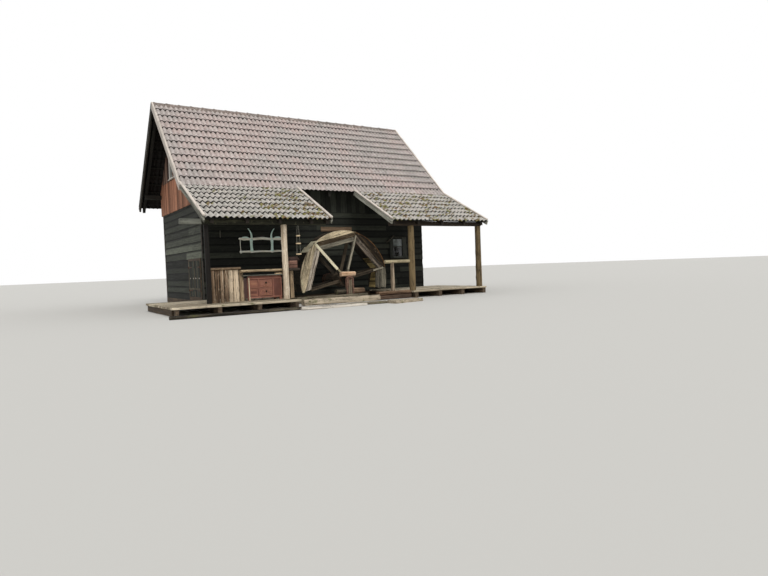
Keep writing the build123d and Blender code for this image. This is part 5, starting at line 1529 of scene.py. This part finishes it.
class WATERMILL_OT_wheel_arms(Operator):
    """Fit the arms, the hub and the eight-sided shaft with its iron gudgeons"""

    bl_idname = "watermill.wheel_arms"
    bl_label = "Wheel arms and shaft"

    def execute(self, context):
        grey, dark, cream = finishes("wheel_grey", "wheel_dark", "wheel_cream")
        bench = Bench(131)
        looks = {13: (dark, dark), 73: (grey, grey), 133: (dark, cream), 193: (dark, dark)}
        for ring, faces in ((WHEEL_FRONT, looks), (WHEEL_BACK - RING, {})):
            for angle in ARM_ANGLES:
                start, end = on_wheel(0.2303, angle), on_wheel(1.194, angle)
                y = ring + RING / 2
                lower, upper = faces.get(angle, (dark, dark))
                across = beside(angle)
                for finish, width, shift, set_back in ((lower, 0.05, -0.025, 0.004), (upper, 0.046, 0.026, 0.0)):
                    a, b = start + across * shift, end + across * shift
                    in_plane(
                        bench, a, b, y + set_back, 0.066 - set_back, width, finish, across, edge=0.005, rough=0.0018,
                        step=0.09)
                tip0, tip1 = on_wheel(1.19, angle), on_wheel(1.222, angle)
                in_plane(bench, tip0, tip1, y, 0.064, 0.05, upper, across, edge=0.012, rough=0)
        lap = WHEEL_FRONT - 0.011
        for angle, near, far, wide, shift, finish in (
            (133, 0.42, 1.455, 0.086, 0.010, finish_of("wheel_bleached")), (73, 0.3, 1.40, 0.05, 0.0, grey),
            (13, 1.02, 1.40, 0.05, 0.0, grey)
        ):
            across = beside(angle)
            a, b = on_wheel(near, angle) + across * shift, on_wheel(far, angle) + across * shift
            in_plane(bench, a, b, lap, 0.021, wide, finish, across, edge=0.004, rough=0.0018, step=0.08, tone=0.85)
        bench.piece("spokes", "wheel", ["wheel_arms"], "wheel_timber")

        bench = Bench(132)
        turn = np.radians(np.arange(6) * 60 + 43)
        reach = 0.23 / math.cos(math.radians(30)) - 0.002
        rings = []
        for y, size in ((WHEEL_FRONT, 0.97), (WHEEL_FRONT + 0.006, 1), (WHEEL_BACK - 0.006, 1), (WHEEL_BACK, 0.97)):
            rings.append([(x, y, z) for x, z in polygon_ring(reach * size, turn, (0.02, 0.35, 0.65, 0.98))])
        bench.rings(rings, dark, 0.8, np.array(rings)[..., [1, 0, 2]])
        for angle in ARM_ANGLES[:3]:
            for way in (-1, 1):
                a = on_wheel(0.15, angle + 90 * way)
                b, out = a + 0.17 * heading(angle), heading(angle + 90)
                in_plane(bench, a, b, WHEEL_FRONT - 0.006, 0.012, 0.05, finish_of("iron"), out, edge=0.002, rough=0)
        turn = circle(8)
        stations = np.linspace(WHEEL_FRONT - 0.03, SHAFT_BACK, 14)
        rings = []
        for y in stations:
            size = SHAFT * (0.965 if y in (stations[0], stations[-1]) else 1) - abs(bench.chance.normal(0, 0.0015))
            rings.append([(x, y, z) for x, z in polygon_ring(size, turn, (0.04, 0.5, 0.96))])
        bench.rings(rings, dark, 0.45, np.array(rings)[..., [1, 0, 2]])
        for y in (WHEEL_FRONT - 0.012, SHAFT_BACK - 0.05, SHAFT_BACK - 0.22, WHEEL_BACK + 0.1):
            ring_turn = circle(32)
            size = SHAFT * np.cos(math.pi / 8) / np.cos((ring_turn % (math.pi / 4)) - math.pi / 8)
            band = ((size + 0.001, 0), (size + 0.006, 0.002), (size + 0.006, 0.04), (size + 0.001, 0.042))
            rings = turned(HUB[0], y, HUB[1], band, 32)
            bench.rings(rings, finish_of("iron"))
        for y0, y1 in ((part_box("wheel_shaft")[0].y, WHEEL_FRONT), (SHAFT_BACK - 0.01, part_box("wheel_shaft")[1].y)):
            pin = ((0.029, y0), (GUDGEON, y0 + 0.003), (GUDGEON, y1 - 0.003), (0.029, y1))
            rings = turned(HUB[0], 0.0, HUB[1], pin, 24)
            bench.rings(rings, finish_of("iron"))
        bench.piece("hub_and_shaft", "wheel", ["wheel_shaft"], "wheel_timber")
        return {"FINISHED"}


class WATERMILL_OT_bearing(Operator):
    """Set the split bearing post, its rusty strap and the short log on top"""

    bl_idname = "watermill.bearing"
    bl_label = "Front bearing"

    def execute(self, context):
        low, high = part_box("bearing_post")
        bench = Bench(141)
        y, deep = (low.y + high.y) / 2, high.y - low.y
        seat = HUB[1] - 0.0323
        grey = finish_of("bearing_wood")
        bench.upright(
            (low.x + high.x) / 2, y, low.z, seat - 0.001, high.x - low.x, deep, grey, edge=0.01, rough=0.0018,
            step=0.06, tone=0.8)
        for side in (-1, 1):
            x = side * 0.0487
            bench.upright(
                x, y, seat - 0.002, high.z - 0.001, 0.0315, deep, grey, edge=0.003, rough=0.0005, step=0.02, tone=0.8)
        bench.piece("bearing_block", "mill", ["bearing_post"], "grey_boards")
        low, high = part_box("cap_log")
        bench = Bench(142)
        y = (low.y + high.y) / 2
        radius = 0.078
        bench.log(
            (low.x, y, low.z + radius * 0.86), (high.x - 0.07, y, low.z + radius * 0.86), radius * 0.97, radius * 0.9,
            finish_of("cap_wood"), sides=24, step=0.03, knots=4, lumps=0.05, up=(0, 0, -1), flat_top=0.86)
        bench.piece("cap_timber", "mill", ["cap_log"], "cap_log")
        low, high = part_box("bearing_strap")
        bench = Bench(143)
        strap = finish_of("strap_iron")
        arc = np.linspace(0, math.pi, 25)
        for wide, rise, wall, y0, y1, foot in (
            (0.112, 0.0865, 0.016, low.y - 0.058, high.y, low.z),
            (0.066, 0.062, 0.013, low.y - 0.058, low.y - 0.048, 0.42)
        ):
            loops = []
            for out in (0.0, wall):
                ring = [((wide - out) * math.cos(a), HUB[1] + (rise - out) * math.sin(a)) for a in arc]
                loops.append([(wide - out, foot), *ring, (out - wide, foot)])
            outer, inner = np.array(loops[0]), np.array(loops[1])
            rings = []
            for a, b in zip(outer, inner):
                rings.append([(a[0], y0, a[1]), (a[0], y1, a[1]), (b[0], y1, b[1]), (b[0], y0, b[1])])
            bench.rings(rings, strap)
        bench.piece("strap_iron", "mill", ["bearing_strap"], "iron")
        return {"FINISHED"}


class WATERMILL_OT_counter(Operator):
    """Set up the counter: half-log tops, waney slabs and legs"""

    bl_idname = "watermill.counter"
    bl_label = "Counter"

    def execute(self, context):
        low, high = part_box("counter_tops")
        slabs_low, slabs_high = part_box("counter_slabs")
        bench = Bench(151)
        top_wood = finish_of("top_wood")
        seam = slabs_high.x + 0.033
        shade = -2.33
        for x0, x1, top in (
            (low.x + 0.2, seam - 0.0015, HIGH_TOP), (seam + 0.0015, shade - 0.001, LOW_TOP),
            (shade + 0.001, high.x, LOW_TOP)
        ):
            n = int((x1 - x0) / 0.06) + 2
            at = np.linspace(x0, x1, n)
            front = -(low.y) - 0.006 + 0.010 * np.sin(at * 3.1 + 1) * 0.5 + bench.wander((n,)) * 0.003
            rings = []
            for x, reach in zip(at, front):
                depth = reach + high.y
                ring = [
                    (0, -0.018), (0.012, -0.004), (0.03, 0), (depth * 0.5, 0.0), (depth - 0.02, 0), (depth, -0.015),
                    (depth - 0.004, -0.045), (depth * 0.93, -0.068), (depth * 0.5, -0.0695), (0.05, -0.068),
                    (0.008, -0.045)]
                corners = []
                for a, b in ring:
                    sag = 0.0015 * abs(bench.chance.normal()) if b > -0.03 else 0
                    corners.append((x, -reach + a, top + b - sag))
                rings.append(corners)
            wood = finish_of("black_timber") if x0 > shade else top_wood
            bench.rings(rings, wood, 0.35 if top == HIGH_TOP else 0.85)
        bench.piece("half_log_tops", "mill", ["counter_tops"], "brown_log")

        bench = Bench(152)
        wood = finish_of("slab_wood")
        x = slabs_low.x
        widths = np.array(SLAB_WIDTHS)
        widths *= (slabs_high.x - slabs_low.x) / widths.sum()
        back = slabs_high.y

        def waney(heights, rate):
            nicks = np.abs(bench.wander(heights.shape)) * 0.0035
            return nicks, 0.003 * (1 + np.sin(heights * rate + bench.chance.uniform(0, 6)))

        for tone, width in zip(SLAB_TONES, widths):
            zs = np.linspace(slabs_low.z + abs(bench.chance.normal(0, 0.006)), slabs_high.z, 20)
            nicks, waves = waney(zs, 7)
            left = x + 0.002 + nicks + waves
            nicks, waves = waney(zs, 6)
            right = x + width - 0.002 - nicks - waves
            bulge = 0.034 + 0.01 * bench.chance.uniform()
            rings = []
            for z, a, b in zip(zs, left, right):
                face = []
                for s in np.linspace(0, 1, 9):
                    round_off = bulge * math.sin(math.pi * min(max(s, 0.02), 0.98)) ** 0.55
                    face.append((a + (b - a) * s, back - 0.006 - round_off + 0.0012 * bench.chance.normal(), z))
                rings.append(face + [(b, back, z), (a, back, z)])
            bench.rings(rings, wood, tone, np.array(rings)[..., [2, 0, 1]])
            x += width
        bench.piece("waney_slabs", "mill", ["counter_slabs"], "brown_log")

        low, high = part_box("counter_legs")
        bench = Bench(153)
        y = (low.y + high.y) / 2
        for x in (low.x + 0.05, high.x - 0.05):
            bench.upright(
                x, y, low.z, high.z, 0.098, high.y - low.y - 0.002, finish_of("top_wood"), edge=0.012, rough=0.0025,
                step=0.08, tone=0.6)
        bench.piece("counter_leg_timbers", "mill", ["counter_legs"], "brown_log")

        low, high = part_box("counter_tops")
        bench = Bench(154)
        box = finish_of("box_wood")
        x0, x1, y0, y1, z0, z1 = high.x - 0.28, high.x - 0.06, low.y + 0.06, low.y + 0.26, 1.042, 1.252
        for y in (y0 + 0.009, y1 - 0.009):
            for a, b in ((z0, z0 + 0.108), (z0 + 0.112, z1)):
                bench.level(x0, x1, y, (a + b) / 2, 0.018, b - a, box, edge=0.003, rough=0.0006)
        for x in (x0 + 0.009, x1 - 0.009):
            bench.cross(
                x, y0 + 0.019, y1 - 0.019, (z0 + z1) / 2, 0.018, z1 - z0 - 0.004, box, edge=0.003, rough=0.0006)
        bench.level(x0 + 0.019, x1 - 0.019, (y0 + y1) / 2, z0 + 0.009, y1 - y0 - 0.038, 0.018, box, edge=0.003)
        lid = finish_of("lid_wood")
        for step, (wide, a, b) in enumerate(
            ((0.0, z1, z1 + 0.02), (-0.012, z1 + 0.0202, z1 + 0.075), (-0.04, z1 + 0.0752, z1 + 0.1))
        ):
            bench.level(
                x0 - 0.02 - wide, x1 + 0.07 + wide, (y0 + y1) / 2, (a + b) / 2, y1 - y0 + 0.03 + 2 * wide, b - a, lid,
                edge=0.008, rough=0.0008, tone=0.3 + 0.2 * step)
        bench.piece("counter_box", "mill", slot="red_brown_paint")
        return {"FINISHED"}


class WATERMILL_OT_chest(Operator):
    """Make the red-brown chest with its carved drawers"""

    bl_idname = "watermill.chest"
    bl_label = "Chest"

    def execute(self, context):
        low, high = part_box("chest")
        bench = Bench(161)
        paint, dark, light, knob = finishes("chest_paint", "chest_dark", "chest_light", "black_timber")
        foot = low.z + 0.06
        bench.level(
            low.x, high.x, (low.y + high.y) / 2 + 0.014, (foot + high.z) / 2, high.y - low.y - 0.028, high.z - foot,
            dark, edge=0.004, rough=0.0005)
        for x in (low.x + 0.035, high.x - 0.035):
            for y in (low.y + 0.04, high.y - 0.035):
                bench.upright(x, y, low.z, foot + 0.002, 0.066, 0.066, paint, edge=0.01, rough=0.001, step=0.03)
        face = low.y

        def rail(x0, x1, z0, z1, proud=0.0):
            if x1 - x0 > z1 - z0:
                bench.level(
                    x0, x1, face + 0.011 + proud, (z0 + z1) / 2, 0.022, z1 - z0, paint, edge=0.003, rough=0.0004)
            else:
                bench.upright(
                    (x0 + x1) / 2, face + 0.011 + proud, z0, z1, x1 - x0, 0.022, paint, up=(0, -1, 0), edge=0.003,
                    rough=0.0004)

        post = 0.035
        first, second = low.x + 0.3, low.x + 0.7
        rail(low.x, high.x, high.z - 0.04, high.z)
        rail(low.x, high.x, foot, foot + 0.04)
        for a, b in (
            (low.x, low.x + post), (first - post / 2, first + post / 2), (second - post / 2, second + post / 2),
            (high.x - post, high.x)
        ):
            rail(a, b, foot + 0.04, high.z - 0.04)
        z0, z1 = foot + 0.04, high.z - 0.04
        pitch = (z1 - z0) / 2
        for x0, x1, carved in (
            (low.x + post, first - post / 2, False), (first + post / 2, second - post / 2, True),
            (second + post / 2, high.x - post, None)
        ):
            if carved is None:
                bench.upright(
                    (x0 + x1) / 2, face + 0.02, z0, z1, x1 - x0, 0.022, dark, up=(0, -1, 0), edge=0.003, rough=0.0005)
                continue
            rail(x0, x1, z0 + pitch - 0.008, z0 + pitch + 0.008, 0.002)
            for row in range(2):
                a, b = z0 + row * pitch + 0.012, z0 + (row + 1) * pitch - 0.012
                cx, cz, w, h = (x0 + x1) / 2, (a + b) / 2, x1 - x0 - 0.008, b - a
                board = [(-w / 2, -h / 2), (w / 2, -h / 2), (w / 2, h / 2), (-w / 2, h / 2)]
                bench.plate(board, (cx, face + 0.026, cz), (1, 0, 0), (0, 0, 1), 0.012, paint, edge=0.004)
                if not carved:
                    for way in (-1, 1):
                        bench.level(
                            cx - w * 0.36, cx + w * 0.36, face + 0.011, cz + way * h * 0.27, 0.012, 0.014, light,
                            edge=0.003, rough=0.0004)
                    bench.plate(
                        [(x * 0.68, z * 0.3) for x, z in board], (cx, face + 0.0145, cz), (1, 0, 0), (0, 0, 1), 0.005,
                        light if row else dark, edge=0.004)
                    continue
                for way in (-1, 1):
                    t = np.linspace(0, math.pi, 15)
                    x = cx + way * w * 0.24 + w * 0.2 * np.cos(t)
                    arch = points_at(x, face + 0.0105, cz - h * 0.26 + h * 0.52 * np.sin(t))
                    bench.sweep(
                        arch, [(0.007, -0.005), (0.007, 0.005), (-0.007, 0.005), (-0.007, -0.005)], light,
                        up=(0, 1, 0))
                    petal = [
                        (way * (0.02 + w * 0.16 * t), -h * 0.3 + 0.014 * math.sin(math.pi * t) * s)
                        for s, ts in ((1, (0, 0.3, 0.6, 1)), (-1, (0.6, 0.3))) for t in ts]
                    if way < 0:
                        petal = petal[::-1]
                    bench.plate(petal[::-1], (cx, face + 0.0142, cz), (1, 0, 0), (0, 0, 1), 0.006, light, edge=0.004)
                bench.level(
                    cx - w * 0.46, cx + w * 0.46, face + 0.011, cz - h * 0.42, 0.012, 0.012, light, edge=0.003,
                    rough=0.0004)
                rings = turned(cx, face, cz + h * 0.08, KNOB, 14)
                bench.rings(rings, knob)
        bench.piece("carved_chest", "mill", ["chest"], "red_brown_paint")
        top = high.z
        bench = Bench(162)
        bench.level(
            low.x + 0.012, high.x - 0.012, low.y + 0.04, top + 0.026, 0.05, 0.05, finish_of("chest_paint"),
            edge=0.004, rough=0.0006, step=0.3)
        bench.level(
            low.x - 0.13, high.x + 0.02, low.y + 0.03, top + 0.067, 0.17, 0.028, finish_of("beam_grey"), edge=0.005,
            rough=0.0015, step=0.15)
        bench.timber(
            (low.x + 0.03, low.y - 0.024, low.z), (low.x + 0.022, low.y - 0.024, top + 0.001), 0.018, 0.02,
            finish_of("wheel_bleached"), up=(0, -1, 0), edge=0.004, rough=0.001, step=0.1, tone=0.7)
        bench.level(
            low.x + 0.78, low.x + 0.96, low.y + 0.03, top + 0.096, 0.09, 0.026, finish_of("disc_wood"), edge=0.004,
            rough=0.001, step=0.05, tone=0.7)
        bench.piece("chest_shelf", "mill", slot="grey_boards")
        return {"FINISHED"}


class WATERMILL_OT_yoke(Operator):
    """Carve the old double yoke that hangs on the porch wall"""

    bl_idname = "watermill.yoke"
    bl_label = "Ox yoke"

    def execute(self, context):
        low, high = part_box("yoke")
        bench = Bench(171)
        cream, green = finishes("yoke_cream", "yoke_green")
        y = (low.y + high.y) / 2
        x0, x1, top = low.x, high.x, 2.04
        middle, half = (x0 + x1) / 2, (x1 - x0) / 2

        def hump(away, width):
            return np.exp(-(away / width) ** 2)

        share = np.linspace(-1, 1, 61)
        near_lobe = np.exp(-((np.abs(share) - 0.72) / 0.14) ** 4)
        level = top - 0.05 - 0.01 * np.abs(share) + 0.010 * np.cos(share * 7) * (1 - near_lobe)
        line = points_at(middle + half * share, y, level)
        scale = 0.85 + 0.22 * near_lobe + 0.15 * hump(share, 0.3)
        scale[[0, -1]] *= 0.6
        bench.sweep(line, oval(0.028, 0.042), cream, rough=0.0008, scale=scale)
        for way in (-1, 1):
            arc = np.linspace(0, math.pi, 13)
            lobe = [(0.125 * math.cos(a), 0.072 * math.sin(a) ** 0.8) for a in arc]
            bench.plate(
                lobe, (middle + way * half * 0.72, y + 0.02, top - 0.058), (1, 0, 0), (0, 0, 1), 0.04, green,
                edge=0.008)
        foot = low.z - 0.02
        line = points_at(middle + half * 0.985 * share, y, foot + 0.003 * np.cos(share * 9.4))
        scale = 0.72 + 0.4 * hump(np.abs(share) - 0.46, 0.07) + 0.35 * hump(np.abs(share) - 0.93, 0.03)
        scale[[0, -1]] *= 0.5
        bench.sweep(line, oval(0.026, 0.038), cream, rough=0.0008, scale=scale)
        for place, thick, finish in (
            (-0.93, 0.010, cream), (-0.45, 0.04, green), (0.45, 0.04, green), (0.93, 0.010, cream)
        ):
            x = middle + half * place
            z = np.linspace(foot, top - 0.06, 14)
            lean = 0.008 * np.sin((z - foot) * 6) * (1 if place > 0 else -1)
            swell = 1 + 0.35 * hump(z - foot, 0.07) + 0.3 * hump(z - top + 0.07, 0.06)
            bench.sweep(
                points_at(x + lean, y, z), oval(thick, thick * 0.7), finish, up=(0, 1, 0), rough=0.0006, scale=swell)
        for way in (-1, 1):
            t = np.linspace(0, 1, 16)
            root = middle + half * 0.45 * way
            x = root + way * (-0.028 * np.sin(t * math.pi * 0.8) + 0.115 * t ** 2)
            z = top - 0.09 + 0.38 * t - 0.03 * t ** 3
            bench.sweep(points_at(x, y, z), oval(0.038, 0.022), green, up=(0, 1, 0), rough=0.0005, scale=1 - 0.72 * t)
            bench.sweep(
                [(middle + half * 0.93 * way, y, foot - 0.055), (middle + half * 0.93 * way, y, foot)],
                oval(0.01, 0.01, 8), cream, up=(0, 1, 0))
        t = np.linspace(0, 1, 5)
        bench.sweep(
            points_at(middle, y, top - 0.05 + 0.1 * t), oval(0.006, 0.006, 8), finish_of("iron"), up=(0, 1, 0))
        bench.piece("ox_yoke", "mill", ["yoke"], "yoke_paint")

        bench = Bench(172)
        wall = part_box("front_wall")[0].y
        bench.timber(
            (-3.43, wall - 0.012, 2.03), (-3.425, wall - 0.012, 2.24), 0.022, 0.014, finish_of("beam_grey"),
            up=(0, -1, 0), edge=0.003, rough=0.0005)
        bench.level(-0.12, 1.03, wall - 0.011, 2.285, 0.02, 0.15, finish_of("patch_board"), edge=0.003, rough=0.001)
        bench.piece("wall_patch", "mill", slot="frame_timber")
        return {"FINISHED"}


class WATERMILL_OT_rail_and_shelves(Operator):
    """Fit the pale rail by the right post and the hanging shelves"""

    bl_idname = "watermill.rail_and_shelves"
    bl_label = "Rail and hanging shelves"

    def execute(self, context):
        low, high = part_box("rail")
        bench = Bench(181)
        y, top = (low.y + high.y) / 2, high.z
        bench.log(
            (low.x, y, top - 0.052), (high.x, y, top - 0.052), 0.0505, 0.049, finish_of("rail_wood"), sides=20,
            step=0.05, knots=4, lumps=0.03, up=(0, 0, 1), tone=0.6)
        bench.log(
            (1.0, y, low.z), (1.0, y, top - 0.07), 0.06, 0.05, finish_of("post_bark"), sides=18, step=0.05, knots=6,
            lumps=0.06, up=(0, 1, 0), tone=0.6)
        bench.piece("rail_logs", "mill", ["rail"], "peeled_log")
        low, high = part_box("hanging_shelves")
        bench = Bench(182)
        x, y = (low.x + high.x) / 2, (low.y + high.y) / 2
        turn = circle(22)
        for z, radius in DISCS:
            edge = radius * (1 + 0.03 * np.sin(turn * 2 + z * 9) + 0.02 * np.sin(turn * 5 + z))
            disc = [(edge * s, h) for s, h in ((0.96, 0), (1, 0.005), (1, 0.026), (0.95, 0.032))]
            rings = turned(x, y, z, disc, 22, "z")
            bench.rings(rings, finish_of("disc_wood"), 0.9)
        for way in (-1, 1):
            line = [
                (x + way * 0.053, y, 1.402), (x + way * 0.047, y, 1.7), (x + way * 0.04, y, 1.91),
                (x + way * 0.012, y, high.z)]
            bench.sweep(line, oval(0.0035, 0.0035, 6), finish_of("beam_grey"), up=(0, 1, 0))
        bench.piece("hanging_discs", "mill", ["hanging_shelves"], "peeled_log")
        return {"FINISHED"}


class WATERMILL_OT_hidden_timbers(Operator):
    """Give the rafters, beams, plates, sills, joists, bearers, door frame and panes their finishes"""

    bl_idname = "watermill.hidden_timbers"
    bl_label = "Roof and floor timbers"

    def execute(self, context):
        for node, finish in (
            ("rafters_front", "rafter_front"), ("rafters_rear", "rafter_rear"), ("porch_rafters", "rafter_porch"),
            ("ridge_beam", "soffit_x"), ("wall_plates", "soffit_x"), ("sill_beams", "timber_x"),
            ("tie_beams", "timber_y"), ("floor_joists", "timber_y"), ("deck_bearers", "timber_y"),
            ("door_frame", "timber_y"), ("window_panes", "glass"),
        ):
            dress(node, finish)
        return {"FINISHED"}


class WATERMILL_OT_stage(Operator):
    """Set the pale floor, the even light and the camera"""

    bl_idname = "watermill.stage"
    bl_label = "Stage"

    def execute(self, context):
        settings = context.scene.watermill_stage
        scene = context.scene
        mesh = bpy.data.meshes.new("floor")
        corners = [(x * FLOOR_REACH, y * FLOOR_REACH, -0.001) for x, y in ((-1, -1), (1, -1), (1, 1), (-1, 1))]
        mesh.from_pydata(corners, [], [(0, 1, 2, 3)])
        floor = bpy.data.objects.new("floor", mesh)
        scene.collection.objects.link(floor)
        look = bpy.data.materials.new("floor")
        look.use_nodes = True
        shader = look.node_tree.nodes["Principled BSDF"]
        shader.inputs["Base Color"].default_value = (*settings.floor, 1)
        shader.inputs["Roughness"].default_value = 0.95
        mesh.materials.append(look)

        world = bpy.data.worlds.new("daylight")
        scene.world = world
        world.use_nodes = True
        tree = world.node_tree
        tree.nodes.clear()
        light = tree.nodes.new("ShaderNodeBackground")
        light.inputs[0].default_value = (0.97, 0.985, 1.0, 1)
        light.inputs[1].default_value = settings.daylight
        white = tree.nodes.new("ShaderNodeBackground")
        white.inputs[0].default_value = (1, 1, 1, 1)
        white.inputs[1].default_value = 1.0
        path = tree.nodes.new("ShaderNodeLightPath")
        seen = path.outputs["Is Camera Ray"]
        for kind in ("Is Glossy Ray", "Is Transmission Ray"):
            either = tree.nodes.new("ShaderNodeMath")
            either.operation = "MAXIMUM"
            tree.links.new(seen, either.inputs[0])
            tree.links.new(path.outputs[kind], either.inputs[1])
            seen = either.outputs[0]
        mix = tree.nodes.new("ShaderNodeMixShader")
        out = tree.nodes.new("ShaderNodeOutputWorld")
        for index, socket in enumerate((seen, light.outputs[0], white.outputs[0])):
            tree.links.new(socket, mix.inputs[index])
        tree.links.new(mix.outputs[0], out.inputs[0])

        sun = bpy.data.lights.new("soft_sun", "SUN")
        sun.energy = settings.sun
        sun.angle = math.radians(25)
        sun.color = (1.0, 0.985, 0.95)
        lamp = bpy.data.objects.new("soft_sun", sun)
        lamp.rotation_euler = (math.radians(46), 0, math.radians(-10))
        scene.collection.objects.link(lamp)

        yaw, pitch, roll = (math.radians(angle) for angle in AIM)
        ahead = np.array([math.sin(yaw) * math.cos(pitch), math.cos(yaw) * math.cos(pitch), -math.sin(pitch)])
        right = np.array([math.cos(yaw), -math.sin(yaw), 0.0])
        down = np.cross(ahead, right)
        right, down = right * math.cos(roll) + down * math.sin(roll), -right * math.sin(roll) + down * math.cos(roll)
        turn = Matrix([list(row) for row in np.column_stack([right, -down, -ahead])]).to_4x4()
        camera = bpy.data.cameras.new("camera")
        camera.sensor_width = 36
        camera.lens = camera.sensor_width * FOCAL / PICTURE_WIDTH
        camera.clip_end = 500
        holder = bpy.data.objects.new("camera", camera)
        holder.matrix_world = Matrix.Translation(EYE) @ turn
        scene.collection.objects.link(holder)
        scene.camera = holder
        scene.view_settings.view_transform = "Standard"
        return {"FINISHED"}


STEPS = (
    WATERMILL_OT_stage,
    WATERMILL_OT_main_roof,
    WATERMILL_OT_porch_roofs,
    WATERMILL_OT_ridge,
    WATERMILL_OT_edge_boards,
    WATERMILL_OT_walls,
    WATERMILL_OT_gables,
    WATERMILL_OT_windows,
    WATERMILL_OT_low_door,
    WATERMILL_OT_posts,
    WATERMILL_OT_decks,
    WATERMILL_OT_ground_timbers,
    WATERMILL_OT_wheel_rim,
    WATERMILL_OT_wheel_arms,
    WATERMILL_OT_bearing,
    WATERMILL_OT_counter,
    WATERMILL_OT_chest,
    WATERMILL_OT_yoke,
    WATERMILL_OT_rail_and_shelves,
    WATERMILL_OT_hidden_timbers,
)
SETTINGS = (
    ("watermill_roof", WatermillRoof),
    ("watermill_timber", WatermillTimber),
    ("watermill_wheel", WatermillWheel),
    ("watermill_stage", WatermillStage),
)


class WATERMILL_PT_panel(Panel):
    """Lists the settings and every step of the watermill"""

    bl_label = "Watermill"
    bl_idname = "WATERMILL_PT_panel"
    bl_space_type = "VIEW_3D"
    bl_region_type = "UI"
    bl_category = "Watermill"

    def draw(self, context):
        for name, group in SETTINGS:
            box = self.layout.box()
            for key in group.__annotations__:
                box.prop(getattr(context.scene, name), key)
        column = self.layout.column(align=True)
        for step in STEPS:
            column.operator(step.bl_idname)


CLASSES = (*(group for _, group in SETTINGS), *STEPS, WATERMILL_PT_panel)


def register():
    """Adds the settings, the steps and the panel."""
    for item in CLASSES:
        bpy.utils.register_class(item)
    for name, group in SETTINGS:
        setattr(bpy.types.Scene, name, PointerProperty(type=group))


def unregister():
    """Takes the settings, the steps and the panel away again."""
    for name, _ in SETTINGS:
        delattr(bpy.types.Scene, name)
    for item in reversed(CLASSES):
        bpy.utils.unregister_class(item)


def main():
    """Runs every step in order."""
    register()
    for step in STEPS:
        group, name = step.bl_idname.split(".")
        getattr(getattr(bpy.ops, group), name)()


if __name__ == "__main__":
    main()
